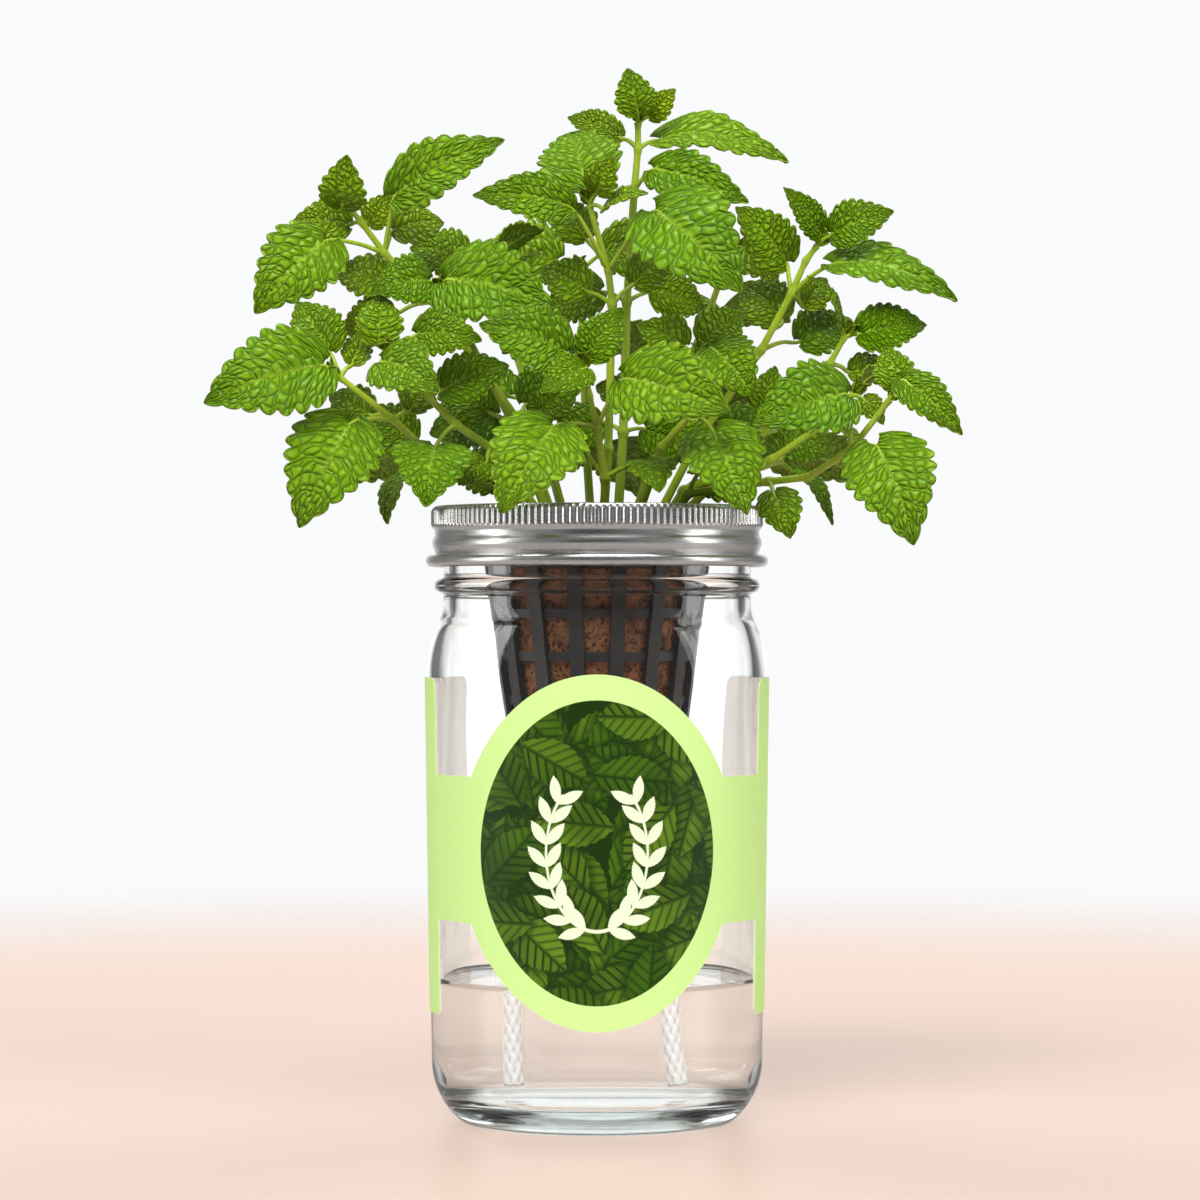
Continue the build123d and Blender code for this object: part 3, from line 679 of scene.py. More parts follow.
curl_turns = [pi + step * 0.5 for step in range(12)]
curl = [curl_centre + Vector((cos(turn), sin(turn))) * curl_radius for turn in curl_turns]
bm = profile_line(band_corners + curl)
bm.verts.ensure_lookup_table()
bmesh.ops.bevel(
    bm,
    geom=bm.verts[1 : len(band_corners)],
    offset=0.42 * mm,
    affect="VERTICES",
    segments=3,
    profile=0.5,
    material=-1,
)
wide = [edge for edge in bm.edges if edge.calc_length() > 0.9 * mm]
bmesh.ops.subdivide_edges(bm, edges=wide, cuts=2)
spin_round(bm, knurl_count * 7)
for vert in bm.verts:
    radius = vert.co.xy.length / mm
    height = vert.co.z / mm
    angle = atan2(vert.co.y, vert.co.x)
    cut = 0.0
    if knurl_low < height < knurl_high and radius > 43:
        fade = min(1, (height - knurl_low) / knurl_ease, (knurl_high - height) / knurl_ease)
        cut = knurl_depth * fade * (1 - (0.5 + 0.5 * cos(knurl_count * angle)) ** 2)
    share = 1 - abs(height - roll_middle) / roll_half
    if share > 0:
        vert.co.z += roll_climb * mm * share * roll_rise(angle)
    vert.co.xy *= 1 - cut / radius
tinplate, tree, shader = finish("satin_tinplate")
spot = place_on(tree)
apart = node(tree, "SeparateXYZ", {0: spot}).outputs
sweep = calc(tree, "MULTIPLY", calc(tree, "ARCTAN2", apart[1], apart[0]), 3.0)
drawn = node(tree, "CombineXYZ", {0: sweep, 1: calc(tree, "MULTIPLY", apart[2], 3500.0)}).outputs[0]
lines = speckle(tree, drawn, 1.0, 4.0)
cloud = graded(tree, speckle(tree, spot, 55.0, 3.0), 0.3, 0.7, 0.0, 0.08)
shader.inputs["Metallic"].default_value = 1.0
satin = calc(tree, "ADD", graded(tree, lines, 0.2, 0.8, 0.2, 0.3), cloud)
coat(tree, shader, tinted(tree, graded(tree, lines, 0.3, 0.7), *tinplate_tones), satin)
relief(tree, shader, lines, 0.00004, 0.35)
band = new_piece("band_sheet", bm, tinplate, "band", "brushed_band", "screw_band")
wall = band.modifiers.new("sheet", "SOLIDIFY")
wall.thickness = sheet_thickness * mm
wall.offset = 0.0

# Stems: the square stalks of the herb, yellow-green, swollen at each joint, with a thin petiole
# to each leaf that runs on under the blade as its midrib. They stand in the coir.
stem_width = 2.5
stem_tip_width = 1.5
joint_swell = 1.35
joint_neck = 0.95
joint_reach = 1.8
petiole_width = 1.15
petiole_tip_width = 0.55
petiole_sag = 0.06
midrib_share = 0.62
leaf_arch = 0.13
leaf_crest = 0.45
stem_greens = (0.2, 0.32, 0.008, 1), (0.34, 0.46, 0.02, 1)
stem_fibre = (0.45, 0.56, 0.06, 1)
SLIM, OVAL, BROAD = 0.6, 0.87, 1.0
UP = Vector((0, -0.35, 1))
RAISED = Vector((0, -0.6, 0.8))
FRONT = Vector((0, -1, 0.35))
LEFT = Vector((-0.7, -0.4, 0.7))
RIGHT = Vector((0.7, -0.4, 0.7))
BACK = Vector((0, 0.6, 0.8))

# Sprigs: the stem's joints, root first, then each leaf's joint, base, tip, width and facing.
# Places are (x, y, height above the coir).
sprigs = {}
sprigs["top"] = [(5, 4, 0), (7, 5, 33), (8, 6, 68), (10, 6, 98), (11, 6, 109), (11, 6, 116)], [
    (5, (11, 3, 118), (8, 2, 130), BROAD, FRONT),
    (5, (14, 8, 118), (21, 6, 125), OVAL, RIGHT),
    (4, (17, 9, 112), (51, 6, 106), SLIM, RAISED),
    (3, (15, 1, 103), (39, -9, 92), SLIM, FRONT),
    (4, (6, 13, 113), (-8, 20, 119), SLIM, FRONT),
    (2, (1, 10, 71), (-14, 17, 66), BROAD, FRONT),
    (2, (15, 10, 71), (29, 16, 67), BROAD, FRONT),
    (1, (1, 10, 36), (-13, 13, 30), BROAD, FRONT),
    (1, (13, 10, 34), (27, 16, 26), BROAD, FRONT),
]
sprigs["crown"] = [(1, -6, 0), (3, -8, 28), (4, -10, 66), (3, -10, 75), (-2, -13, 92)], [
    (3, (15, -18, 90), (37, -34, 68), OVAL, FRONT),
    (3, (-7, -17, 91), (-32, -22, 94), SLIM, FRONT),
    (4, (-3, -12, 97), (-7, 6, 113), BROAD, FRONT),
    (4, (0, -17, 95), (4, -22, 104), BROAD, FRONT),
    (4, (2, -16, 91), (13, -22, 94), OVAL, RAISED),
    (3, (-3, -5, 84), (-11, 0, 94), BROAD, FRONT),
    (2, (-3, -8, 70), (-15, -4, 76), BROAD, FRONT),
    (2, (10, -6, 72), (20, -2, 80), BROAD, FRONT),
]
sprigs["upper_left"] = [(-8, 4, 0), (-21, 4, 36), (-44, 6, 68), (-57, 6, 81), (-63, 5, 89), (-67, 4, 94)], [
    (5, (-68, 2, 93), (-66, -4, 106), BROAD, FRONT),
    (4, (-67, 9, 89), (-82, 12, 90), BROAD, FRONT),
    (4, (-61, 9, 89), (-55, 9, 97), BROAD, FRONT),
    (3, (-54, 2, 96), (-25, -3, 110), SLIM, FRONT),
    (3, (-72, 1, 84), (-90, -8, 64), OVAL, FRONT),
    (3, (-55, 14, 88), (-42, 20, 91), BROAD, FRONT),
    (2, (-57, 14, 74), (-71, 18, 77), BROAD, FRONT),
    (2, (-55, 12, 65), (-69, 14, 60), BROAD, FRONT),
    (1, (-27, 9, 37), (-45, 13, 33), BROAD, FRONT),
    (1, (-19, 12, 41), (-6, 18, 52), OVAL, FRONT),
]
sprigs["back_left"] = [(-6, 12, 0), (-17, 19, 40), (-30, 26, 78)], [
    (2, (-36, 27, 81), (-51, 31, 85), BROAD, FRONT),
    (2, (-27, 29, 82), (-15, 36, 90), BROAD, BACK),
    (1, (-24, 24, 44), (-46, 36, 48), OVAL, UP),
]
sprigs["left"] = [(-9, -4, 0), (-22, -8, 34), (-40, -12, 69)], [
    (2, (-40, -15, 72), (-12, -27, 64), OVAL, FRONT),
    (2, (-44, -13, 72), (-59, -20, 69), BROAD, FRONT),
    (1, (-15, -10, 38), (-3, -13, 46), OVAL, FRONT),
    (1, (-29, -5, 38), (-43, 0, 47), BROAD, FRONT),
]
sprigs["low_left"] = [(-13, -9, 0), (-23, -14, 16), (-37, -20, 20), (-53, -22, 35), (-67, -24, 46)], [
    (4, (-71, -26, 49), (-101, -33, 39), OVAL, FRONT),
    (4, (-70, -20, 53), (-79, -15, 66), BROAD, FRONT),
    (3, (-64, -26, 34), (-76, -37, 7), OVAL, FRONT),
    (3, (-60, -12, 37), (-71, -7, 42), BROAD, FRONT),
    (4, (-64, -19, 50), (-61, -13, 58), OVAL, FRONT),
    (3, (-49, -16, 38), (-44, -10, 46), BROAD, FRONT),
    (2, (-51, -15, 21), (-55, -19, 8), OVAL, LEFT),
    (1, (-25, -8, 20), (-39, -3, 24), BROAD, FRONT),
]
sprigs["mid_left"] = [(-7, -8, 0), (-28, -15, 28), (-37, -19, 34), (-44, -21, 41), (-53, -25, 52)], [
    (4, (-57, -22, 55), (-56, -17, 68), BROAD, FRONT),
    (4, (-47, -26, 57), (-30, -30, 56), OVAL, FRONT),
    (4, (-56, -29, 50), (-40, -41, 42), OVAL, FRONT),
    (3, (-40, -22, 43), (-23, -19, 49), OVAL, FRONT),
    (2, (-42, -27, 28), (-44, -43, 12), BROAD, FRONT),
    (1, (-29, -20, 24), (-36, -27, 18), BROAD, FRONT),
]
sprigs["front"] = [(2, -13, 0), (2, -20, 20), (0, -24, 33), (-2, -26, 41), (-3, -28, 48)], [
    (4, (-8, -31, 52), (-30, -36, 59), OVAL, FRONT),
    (4, (-2, -28, 51), (6, -26, 64), OVAL, FRONT),
    (4, (-3, -32, 48), (-14, -40, 41), OVAL, FRONT),
    (2, (7, -33, 45), (33, -46, 35), OVAL, FRONT),
    (2, (-11, -33, 33), (-23, -50, 10), OVAL, FRONT),
    (1, (13, -24, 24), (16, -36, 16), BROAD, RAISED),
    (1, (-4, -20, 27), (-12, -21, 22), BROAD, FRONT),
]
sprigs["front_right"] = [(7, -7, 0), (17, -14, 28), (25, -18, 37), (27, -14, 51)], [
    (2, (30, -29, 32), (37, -45, 10), OVAL, FRONT),
    (3, (30, -18, 54), (41, -27, 41), BROAD, FRONT),
    (3, (28, -10, 56), (39, -5, 64), BROAD, FRONT),
    (1, (21, -9, 32), (31, -3, 26), BROAD, FRONT),
    (3, (23, -11, 55), (11, -8, 61), BROAD, FRONT),
]
sprigs["upper_right"] = [(11, 5, 0), (27, 4, 31), (44, 6, 55), (52, 6, 70), (56, 6, 79), (59, 6, 83)], [
    (5, (60, 5, 86), (50, 1, 98), SLIM, FRONT),
    (5, (63, 4, 86), (79, 0, 91), OVAL, FRONT),
    (3, (63, 4, 78), (95, -2, 67), SLIM, RAISED),
    (3, (51, 10, 79), (37, 8, 93), OVAL, FRONT),
    (2, (50, 15, 64), (39, 23, 74), BROAD, FRONT),
    (2, (55, 14, 58), (69, 20, 64), BROAD, FRONT),
    (3, (56, 10, 67), (62, 14, 75), BROAD, FRONT),
    (1, (32, 11, 34), (50, 17, 28), BROAD, FRONT),
    (1, (26, 13, 41), (17, 18, 55), OVAL, FRONT),
]
sprigs["right"] = [(12, 0, 0), (43, -3, 31), (62, 0, 51), (66, 0, 58)], [
    (3, (65, -1, 61), (56, -5, 74), SLIM, RIGHT),
    (3, (70, 0, 59), (88, 2, 61), OVAL, FRONT),
    (2, (68, 4, 49), (80, 8, 50), OVAL, FRONT),
    (1, (48, 2, 33), (63, 7, 28), BROAD, FRONT),
    (1, (44, -6, 38), (47, -4, 50), OVAL, FRONT),
]
sprigs["low_right"] = [
    (14, -10, 0), (24, -14, 16), (45, -20, 19), (55, -22, 20), (66, -27, 27), (76, -28, 40)
], [
    (4, (65, -30, 41), (40, -40, 34), OVAL, FRONT),
    (5, (78, -27, 43), (76, -22, 54), BROAD, FRONT),
    (5, (79, -30, 45), (94, -37, 31), SLIM, FRONT),
    (4, (72, -32, 28), (82, -46, 3), OVAL, FRONT),
    (2, (46, -25, 16), (50, -29, 4), BROAD, FRONT),
    (1, (27, -18, 22), (31, -27, 19), BROAD, RAISED),
]
sprigs["far_right"] = [(12, -5, 0), (23, -8, 17), (46, -12, 25), (61, -13, 35), (67, -12, 42)], [
    (2, (51, -9, 23), (62, -14, 8), SLIM, RIGHT),
    (3, (65, -10, 33), (71, -6, 25), BROAD, RIGHT),
    (4, (69, -9, 44), (77, -4, 49), BROAD, BACK),
    (4, (70, -14, 41), (75, -17, 34), OVAL, FRONT),
    (1, (28, 2, 20), (41, 7, 18), BROAD, FRONT),
]
sprigs["back"] = [(-1, 16, 0), (-3, 26, 30), (-4, 34, 58), (-5, 37, 78)], [
    (2, (-9, 38, 60), (-26, 51, 57), BROAD, BACK),
    (2, (2, 39, 60), (17, 54, 55), BROAD, BACK),
    (1, (3, 33, 30), (12, 55, 16), OVAL, BACK),
    (1, (-9, 33, 30), (-26, 52, 18), OVAL, BACK),
    (3, (-11, 41, 82), (-33, 48, 84), BROAD, FRONT),
    (3, (2, 37, 84), (21, 38, 85), BROAD, FRONT),
]
sprigs["back_right"] = [(7, 12, 0), (19, 21, 38), (30, 30, 65), (36, 32, 82)], [
    (2, (35, 33, 67), (53, 44, 65), BROAD, BACK),
    (2, (27, 36, 68), (21, 52, 75), BROAD, BACK),
    (1, (26, 24, 39), (46, 33, 35), BROAD, BACK),
    (3, (39, 31, 85), (50, 30, 76), BROAD, FRONT),
    (3, (33, 33, 86), (22, 36, 93), OVAL, FRONT),
    (1, (13, 24, 42), (0, 29, 47), BROAD, FRONT),
]
sprigs["low_back_left"] = [(-13, 9, 0), (-23, 15, 16), (-48, 30, 26)], [
    (2, (-52, 32, 28), (-74, 42, 19), OVAL, BACK),
    (2, (-49, 36, 29), (-54, 58, 24), BROAD, BACK),
    (2, (-51, 29, 31), (-65, 29, 40), BROAD, FRONT),
]
sprigs["low_back_right"] = [(14, 9, 0), (24, 15, 16), (50, 28, 26)], [
    (2, (54, 30, 28), (76, 40, 19), OVAL, BACK),
    (2, (51, 34, 29), (55, 56, 22), BROAD, BACK),
]


def planted(place):
    """A place above the coir, in the frame of the whole object."""
    return Vector((place[0], place[1], coir_high + place[2])) * mm


def blade_axes(base, tip, facing):
    """Length of a leaf, and its directions along, across and out of its upper face."""
    run = tip - base
    along = run.normalized()
    outward = (facing - along * facing.dot(along)).normalized()
    return run.length, along, outward.cross(along), outward


def arch_height(share):
    """Rise of the midrib above the line from base to tip, as a part of the leaf's length."""
    side = leaf_crest if share < leaf_crest else 1 - leaf_crest
    return leaf_arch * (1 - ((share - leaf_crest) / side) ** 2)


def add_stalk(curve, places, radii):
    """Smooth stalk through its places, as thick as the radii say."""
    spline = curve.splines.new("BEZIER")
    spline.bezier_points.add(len(places) - 1)
    for point, place, radius in zip(spline.bezier_points, places, radii):
        point.co = place
        point.radius = radius
        point.handle_left_type = point.handle_right_type = "AUTO"


section = bpy.data.curves.new("stalk_section", "CURVE")
ring = section.splines.new("POLY")
ring.points.add(11)
for step, point in enumerate(ring.points):
    turn = 2 * pi * step / 12
    reach = (1 - 0.12 * cos(4 * turn)) * mm
    point.co = (reach * cos(turn), reach * sin(turn), 0, 1)
ring.use_cyclic_u = True
section_object = bpy.data.objects.new("stalk_section", section)
bpy.context.scene.collection.objects.link(section_object)
stem_skin, tree, shader = finish("stem_skin")
spot = place_on(tree)
drawn = node(tree, "Mapping", {"Vector": spot, "Scale": (1.0, 1.0, 0.12)}).outputs[0]
fibres = speckle(tree, drawn, 1500.0, 3.0)
green = tinted(tree, graded(tree, speckle(tree, spot, 60.0, 2.0), 0.3, 0.7), *stem_greens)
green = tinted(tree, graded(tree, fibres, 0.35, 0.7, 0.0, 0.3), green, stem_fibre)
coat(tree, shader, green, graded(tree, fibres, 0.2, 0.8, 0.38, 0.5))
relief(tree, shader, fibres, 0.00008, 0.5)
stalk_objects = {}
for sprig, (joints, leaves) in sprigs.items():
    curve = bpy.data.curves.new("stem_" + sprig, "CURVE")
    curve.dimensions = "3D"
    curve.resolution_u = 7
    curve.bevel_mode = "OBJECT"
    curve.bevel_object = section_object
    curve.use_fill_caps = True
    points = [planted(joint) for joint in joints]
    places, radii = [points[0]], [stem_width / 2]
    for index in range(1, len(points)):
        width = stem_width + (stem_tip_width - stem_width) * index / (len(points) - 1)
        run = (points[index] - points[index - 1]).normalized() * joint_reach * mm
        places += [points[index] - run, points[index]]
        radii += [width / 2, width / 2 * joint_swell]
        if index < len(points) - 1:
            onward = (points[index + 1] - points[index]).normalized() * joint_reach * mm
            places.append(points[index] + onward)
            radii.append(width / 2 * joint_neck)
    add_stalk(curve, places, radii)
    for joint, base, tip, shape, facing in leaves:
        start, base, tip = points[joint], planted(base), planted(tip)
        length, along, across, outward = blade_axes(base, tip, facing)
        sag = Vector((0, 0, petiole_sag)) * (base - start).length
        places = [start, (start + base) / 2 + sag, base - outward * 0.35 * mm]
        radii = [petiole_width * 0.6, petiole_width / 2, petiole_width / 2 * 0.92]
        for step in (1, 2, 3, 4):
            share = midrib_share * step / 4
            under = outward * (arch_height(share) * length - 0.42 * mm)
            places.append(base + along * (length * share) + under)
            radii.append(petiole_tip_width * (1 - 0.8 * step / 4))
        add_stalk(curve, places, radii)
    stalk = bpy.data.objects.new("stem_curve_" + sprig, curve)
    bpy.context.scene.collection.objects.link(stalk)
    stalk_objects[sprig] = stalk
graph = bpy.context.evaluated_depsgraph_get()
for sprig, stalk in stalk_objects.items():
    bm = bmesh.new()
    mesh = bpy.data.meshes.new_from_object(stalk.evaluated_get(graph))
    bm.from_mesh(mesh)
    bmesh.ops.remove_doubles(bm, verts=bm.verts[:], dist=1e-7)
    bmesh.ops.recalc_face_normals(bm, faces=bm.faces[:])
    new_piece(sprig + "_stem", bm, stem_skin, "pot", "stem_green", "stem_" + sprig)
    bpy.data.meshes.remove(mesh)
for stalk in list(stalk_objects.values()) + [section_object]:
    curve = stalk.data
    bpy.data.objects.remove(stalk)
    bpy.data.curves.remove(curve)

# Leaves: thin ovate blades with rounded teeth, quilted between sunken veins, bright green above
# and paler below. Each hangs on its petiole, and small young leaves sit at the joints.
leaf_base_width = 0.16
leaf_swell = 0.62
leaf_fullness = 0.8
vein_count = 7
young_vein_count = 5
young_leaf_length = 15
vein_slant = 0.24
vein_bow = 1.15
vein_close = 0.45
vein_wobble = 0.1
cross_veins = 0.55
cell_rows = 1.6
half_stagger = 0.35
tooth_depth = 0.2
quilt_depth = 0.016
blade_thickness = 0.38
bud_leaves = 4
bud_length = 5.5
leaf_marks = "leaf_seed", "leaf_youth_and_backlight", "leaf_veins"
leaf_quilt, given, result = new_group(
    "leaf_quilt", "NodeSocketFloat", ["Along", "Across", "Seed", "Count"], ["Veins", "Quilt"]
)
tree = leaf_quilt
along, across, seed, count = given[:4]
out = calc(tree, "ABSOLUTE", across)
lean = calc(tree, "MULTIPLY", calc(tree, "POWER", out, vein_bow), vein_slant)
closing = calc(tree, "SUBTRACT", 1.0, calc(tree, "MULTIPLY", along, vein_close))
phase = calc(tree, "SUBTRACT", along, calc(tree, "MULTIPLY", lean, closing))
phase = calc(tree, "MULTIPLY", phase, count)
wobble = calc(tree, "MULTIPLY_ADD", out, 7.0, calc(tree, "MULTIPLY", seed, 20.0))
phase = calc(tree, "MULTIPLY_ADD", calc(tree, "SINE", wobble), vein_wobble, phase)
phase = calc(tree, "MULTIPLY_ADD", calc(tree, "GREATER_THAN", across, 0.0), half_stagger, phase)
side_vein = calc(tree, "ABSOLUTE", calc(tree, "SINE", calc(tree, "MULTIPLY", phase, pi)))
row = calc(tree, "MULTIPLY_ADD", phase, cell_rows, calc(tree, "MULTIPLY", seed, 370.0))
column = calc(tree, "MULTIPLY", count, cross_veins)
column = calc(tree, "MULTIPLY_ADD", across, column, calc(tree, "MULTIPLY", seed, 110.0))
grid = node(tree, "CombineXYZ", {0: row, 1: column}).outputs[0]
cells = node(
    tree,
    "TexVoronoi",
    {"Vector": grid, "Scale": 1.0, "Randomness": 0.75},
    voronoi_dimensions="2D",
    feature="DISTANCE_TO_EDGE",
).outputs["Distance"]
cushion = calc(tree, "POWER", graded(tree, cells, 0.0, 0.4), 0.5)
between = calc(tree, "POWER", graded(tree, side_vein, 0.0, 0.5), 0.5)
midrib = graded(tree, out, 0.075, 0.03)
veins = calc(tree, "MAXIMUM", graded(tree, side_vein, 0.14, 0.04, 0.0, 0.6), midrib)
plug(tree, result[0], calc(tree, "MAXIMUM", veins, graded(tree, out, 0.94, 0.99)))
plug(tree, result[1], calc(tree, "MULTIPLY", between, cushion))


def leaf_finish(name, shade, light, young_and_backlit, vein, sunk):
    """Skin of a leaf's face, from the painted shade in its hollows to its young tips and its painted backlit
    glow, with veins sunk or raised.
    """
    material, tree, shader = finish(name)
    place = node(tree, "SeparateXYZ", {0: node(tree, "UVMap").outputs[0]}).outputs
    across = calc(tree, "MULTIPLY_ADD", place[1], 2.0, -1.0)
    seed, age_and_backlight, count = (node(tree, "Attribute", attribute_name=mark).outputs["Fac"] for mark in leaf_marks)
    pattern = node(tree, "Group", {}, node_tree=leaf_quilt)
    for socket, value in zip(pattern.inputs, (place[0], across, seed, count)):
        plug(tree, socket, value)
    veins, quilt = pattern.outputs
    spot = place_on(tree)
    blotch = speckle(tree, spot, 140.0, 3.0)
    pores = speckle(tree, spot, 2400.0, 2.0)
    tone = tinted(tree, graded(tree, blotch, 0.3, 0.75, 0.45, 1.0), shade, light)
    tone = tinted(tree, age_and_backlight, tone, young_and_backlit)
    # painted shade: the hollows between the quilted cushions are drawn darker, toward the shade colour
    hollow = tinted(tree, 0.7, tone, shade)
    tone = tinted(tree, graded(tree, quilt, 0.1, 0.4), hollow, tone)
    tone = tinted(tree, calc(tree, "MULTIPLY", veins, 0.4), tone, vein)
    coat(tree, shader, tone, graded(tree, pores, 0.2, 0.8, 0.3, 0.4))
    shader.inputs["Specular IOR Level"].default_value = 0.25
    relief(tree, shader, calc(tree, "MULTIPLY_ADD", pores, 0.05, quilt), 0.0008 * sunk, 1.0)
    return material


leaf_top = leaf_finish(
    "leaf_top",
    shade=(0.06, 0.17, 0.001, 1),
    light=(0.155, 0.32, 0.004, 1),
    young_and_backlit=(0.3, 0.45, 0.006, 1),
    vein=(0.3, 0.46, 0.04, 1),
    sunk=1,
)
leaf_under = leaf_finish(
    "leaf_under",
    shade=(0.13, 0.25, 0.012, 1),
    light=(0.19, 0.33, 0.02, 1),
    young_and_backlit=(0.3, 0.46, 0.02, 1),
    vein=(0.36, 0.5, 0.09, 1),
    sunk=-1,
)


def add_blade(bm, base, tip, shape, facing, youth_and_backlight, veins, columns, rows, draw):
    """One toothed, quilted blade from base to tip, as wide as its shape says."""
    length, along, across, outward = blade_axes(base, tip, facing)
    seed = draw.random()
    twist = draw.uniform(-0.12, 0.12)
    sway = draw.uniform(-0.05, 0.05)
    wave = draw.uniform(0, 2 * pi)
    half = shape * length / 2
    uv = bm.loops.layers.uv.verify()
    marks = {}
    for vert in bmesh.ops.create_grid(bm, x_segments=columns, y_segments=rows, size=1.0)["verts"]:
        u, v = (vert.co.x + 1) / 2, vert.co.y
        out = abs(v)
        lean = vein_slant * out**vein_bow * (1 - vein_close * u)
        phase = veins * (u - lean) + vein_wobble * sin(7 * out + 20 * seed) + (half_stagger if v > 0 else 0)
        pucker = noise.noise((u * 13, v * 6, seed * 90))
        quilt = abs(sin(pi * phase)) ** 0.5 * (0.8 + 1.2 * pucker)
        tooth = sin(pi * ((phase + 0.35) % 1) ** 1.2) ** 0.5
        rounded = max(0.0, sin(pi * u**leaf_swell)) ** leaf_fullness
        spread = leaf_base_width * (1 - u) + (1 - leaf_base_width) * rounded
        bitten = 1 - tooth_depth * (1 - tooth) * out**3
        x = u * length + 0.02 * length * tooth * out**4 - 0.1 * length * out**2 * (1 - u) ** 6
        y = v * half * spread * bitten + sway * length * u * u
        z = arch_height(u) * length + half * spread * (0.3 * out - 0.22 * out * out)
        z += quilt_depth * length * quilt * min(1, out * 7) * (1 - 0.6 * out**5) * min(1, 5 * (1 - u), 8 * u)
        z += 0.018 * length * sin(9 * u + wave) * out**2 + twist * v * half * spread * u
        vert.co = base + along * x + across * y + outward * z
        for mark, value in zip(leaf_marks, (seed, youth_and_backlight, veins)):
            vert[bm.verts.layers.float[mark]] = value
        marks[vert] = (u, (v + 1) / 2)
    for face in {face for vert in marks for face in vert.link_faces}:
        for loop in face.loops:
            loop[uv].uv = marks[loop.vert]


draw = random.Random(21)
for sprig, (joints, leaves) in sprigs.items():
    bm = bmesh.new()
    for mark in leaf_marks:
        bm.verts.layers.float.new(mark)
    for joint, base, tip, shape, facing in leaves:
        base, tip = planted(base), planted(tip)
        length = (tip - base).length / mm
        youth_and_backlight = max(0.0, min(0.7, (17 - length) / 14)) + draw.uniform(0, 0.25)
        # painted light: high leaves at the back are made yellower, as if lit through from behind
        youth_and_backlight += 0.3 if base.y > 8 * mm and base.z > 0.21 else 0
        grown = length > young_leaf_length
        veins, columns, rows = (vein_count, 80, 36) if grown else (young_vein_count, 54, 26)
        add_blade(bm, base, tip, shape, facing, youth_and_backlight, veins, columns, rows, draw)
    shoot = planted(joints[-1])
    growth = (shoot - planted(joints[-2])).normalized()
    around = growth.orthogonal().normalized()
    for count in range(bud_leaves):
        aside = Quaternion(growth, count * pi / 2 + 0.4) @ around
        length = (bud_length - 0.6 * count) * mm
        root = shoot + growth * (0.6 + 0.5 * count) * mm
        tip = root + (growth + aside * 0.75).normalized() * length
        add_blade(bm, root, tip, OVAL, growth - aside, 0.9, young_vein_count, 30, 14, draw)
    blades = new_piece(sprig + "_leaves", bm, leaf_top, "pot", "leaf_green", "leaves_" + sprig)
    blades.data.materials.append(leaf_under)
    body = blades.modifiers.new("thickness", "SOLIDIFY")
    body.thickness = blade_thickness * mm
    body.offset = -1.0
    body.material_offset = 1

# Studio: a pale floor that fades into a white surround, soft light from above and the front,
# and darker sides that draw the edges of the glass.
camera_distance = 1.05
camera_height = 0.138
camera_aside = 0.0008
picture_width = 0.32
floor_tone = (0.51, 0.39, 0.33, 1)
mirrored_floor_tone = (0.22, 0.2, 0.19, 1)
backdrop_tone = (0.955, 0.96, 0.97, 1)
lamp_aim = Vector((0, 0, 0.16))
camera_data = bpy.data.cameras.new("camera")
camera_data.sensor_width = 36.0
camera_data.lens = 36.0 * camera_distance / picture_width
camera_data.clip_start = 0.05
camera = bpy.data.objects.new("camera", camera_data)
camera.location = (camera_aside, -camera_distance, camera_height)
camera.rotation_euler = (pi / 2, 0, 0)
bpy.context.scene.collection.objects.link(camera)
bpy.context.scene.camera = camera
bpy.context.scene.view_settings.view_transform = "Standard"
bm = bmesh.new()
bmesh.ops.create_circle(bm, cap_ends=True, segments=96, radius=1.6)
mesh = bpy.data.meshes.new("floor")
bm.to_mesh(mesh)
bm.free()
floor_piece = bpy.data.objects.new("floor", mesh)
bpy.context.scene.collection.objects.link(floor_piece)
pale_floor, tree, shader = finish("pale_floor")
path = node(tree, "LightPath").outputs
mirrored = calc(tree, "SUBTRACT", path["Is Glossy Ray"], path["Is Transmission Ray"])
coat(tree, shader, tinted(tree, mirrored, floor_tone, mirrored_floor_tone), 0.45)
faded = graded(tree, vector(tree, "LENGTH", place_on(tree)), 0.4, 0.9)
nothing = node(tree, "BsdfTransparent").outputs[0]
edge = node(tree, "MixShader", {0: faded, 1: shader.outputs[0], 2: nothing}).outputs[0]
plug(tree, tree.nodes["Material Output"].inputs["Surface"], edge)
mesh.materials.append(pale_floor)
world = bpy.data.worlds.new("surround")
world.use_nodes = True
bpy.context.scene.world = world
tree = world.node_tree
way = node(tree, "SeparateXYZ", {0: node(tree, "TexCoord").outputs["Generated"]}).outputs
path = node(tree, "LightPath").outputs
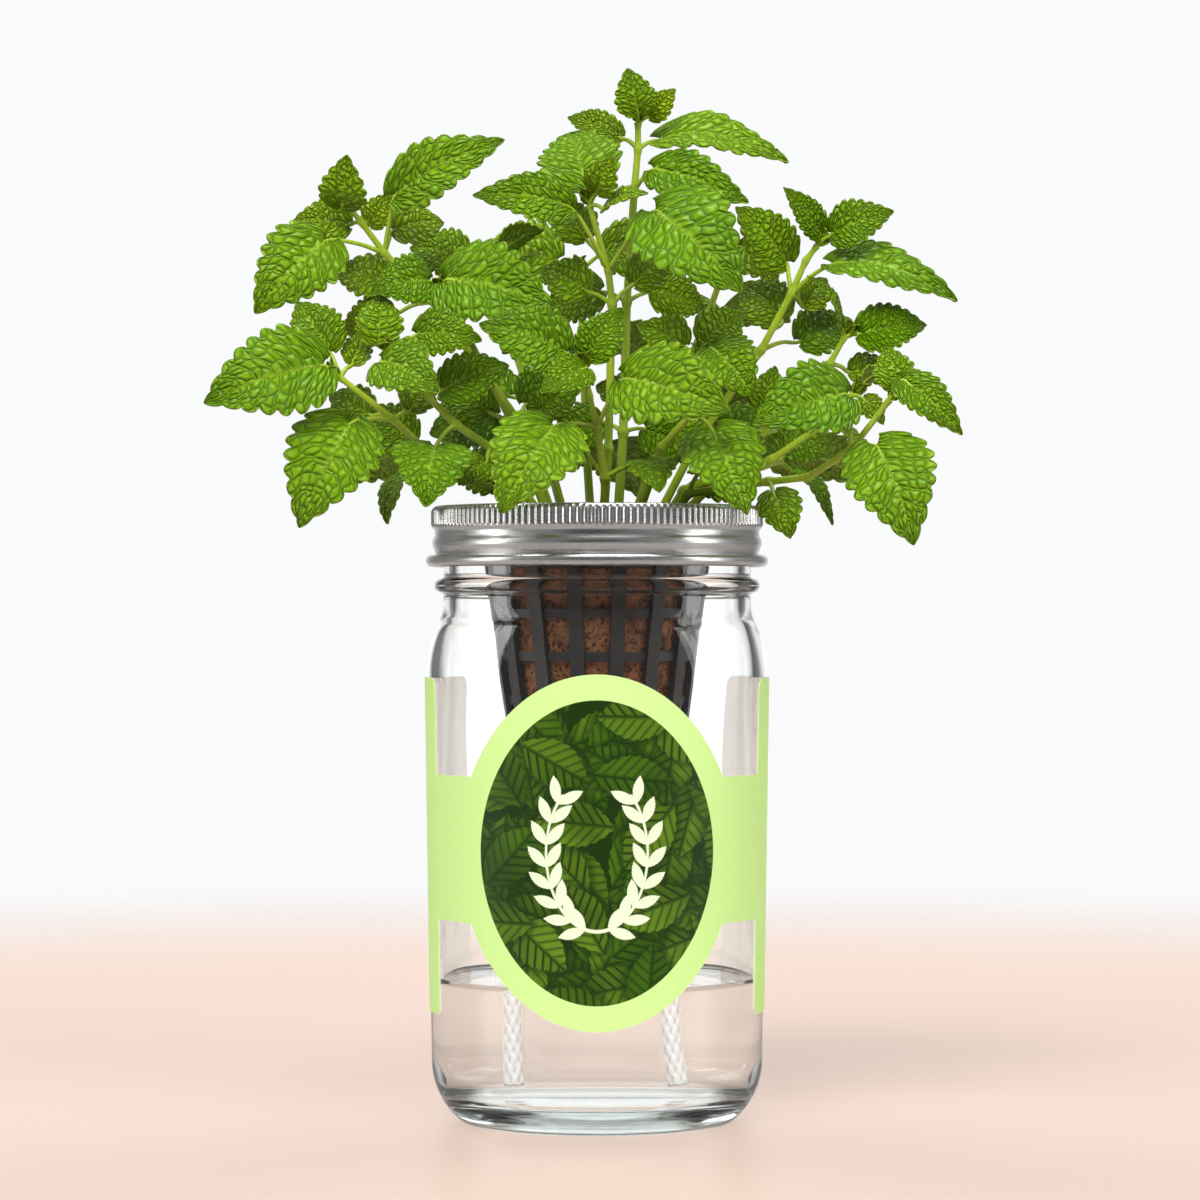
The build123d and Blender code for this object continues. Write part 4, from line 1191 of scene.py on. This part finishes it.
sky = graded(tree, way[2], -0.2, 0.9, 0.23, 0.42)
aside = calc(tree, "ABSOLUTE", way[0])
flags = graded(tree, aside, 0.34, 0.5, 1.2, 0.1)
flags = calc(tree, "MAXIMUM", flags, graded(tree, aside, 0.7, 0.8, 0.0, 0.9))
flags = calc(tree, "MULTIPLY", flags, graded(tree, way[1], -0.3, 0.2, 0.06, 1.0))
walls = graded(tree, way[1], -0.98, -0.85, 0.05, 0.2)
walls = calc(tree, "MAXIMUM", walls, graded(tree, way[2], 0.88, 0.95, 0.0, 7.0))
walls = calc(tree, "MAXIMUM", walls, graded(tree, way[1], 0.85, 0.97, 0.0, 1.0))
glow = node(tree, "Mix", {0: path["Is Glossy Ray"], 2: sky, 3: walls}).outputs[0]
glow = node(tree, "Mix", {0: path["Is Transmission Ray"], 2: glow, 3: flags}).outputs[0]
grey = node(tree, "CombineColor", {0: glow, 1: glow, 2: glow}).outputs[0]
seen = tinted(tree, path["Is Camera Ray"], grey, backdrop_tone)
plug(tree, tree.nodes["Background"].inputs["Color"], seen)
lamps = (
    ("key", (-0.5, -1.3, 1.7), 42.0, 0.9, 0.9, False),
    ("fill", (0.9, -1.1, 1.2), 14.0, 0.9, 0.9, False),
    ("back_left", (-0.8, 0.9, 1.1), 13.0, 0.9, 0.9, False),
    ("back_right", (0.8, 0.9, 1.1), 13.0, 0.9, 0.9, False),
    ("left_strip", (-1.5, -0.3, 0.5), 7.0, 0.5, 1.3, True),
    ("right_strip", (1.5, -0.3, 0.5), 6.0, 0.5, 1.3, True),
)
for name, place, power, width, height, mirrored in lamps:
    light = bpy.data.lights.new(name, "AREA")
    light.energy = power
    light.shape = "RECTANGLE"
    light.size = width
    light.size_y = height
    lamp = bpy.data.objects.new(name, light)
    lamp.location = place
    lamp.rotation_euler = (lamp_aim - Vector(place)).to_track_quat("-Z", "Y").to_euler()
    lamp.visible_glossy = lamp.visible_transmission = mirrored
    lamp.visible_diffuse = not mirrored
    bpy.context.scene.collection.objects.link(lamp)
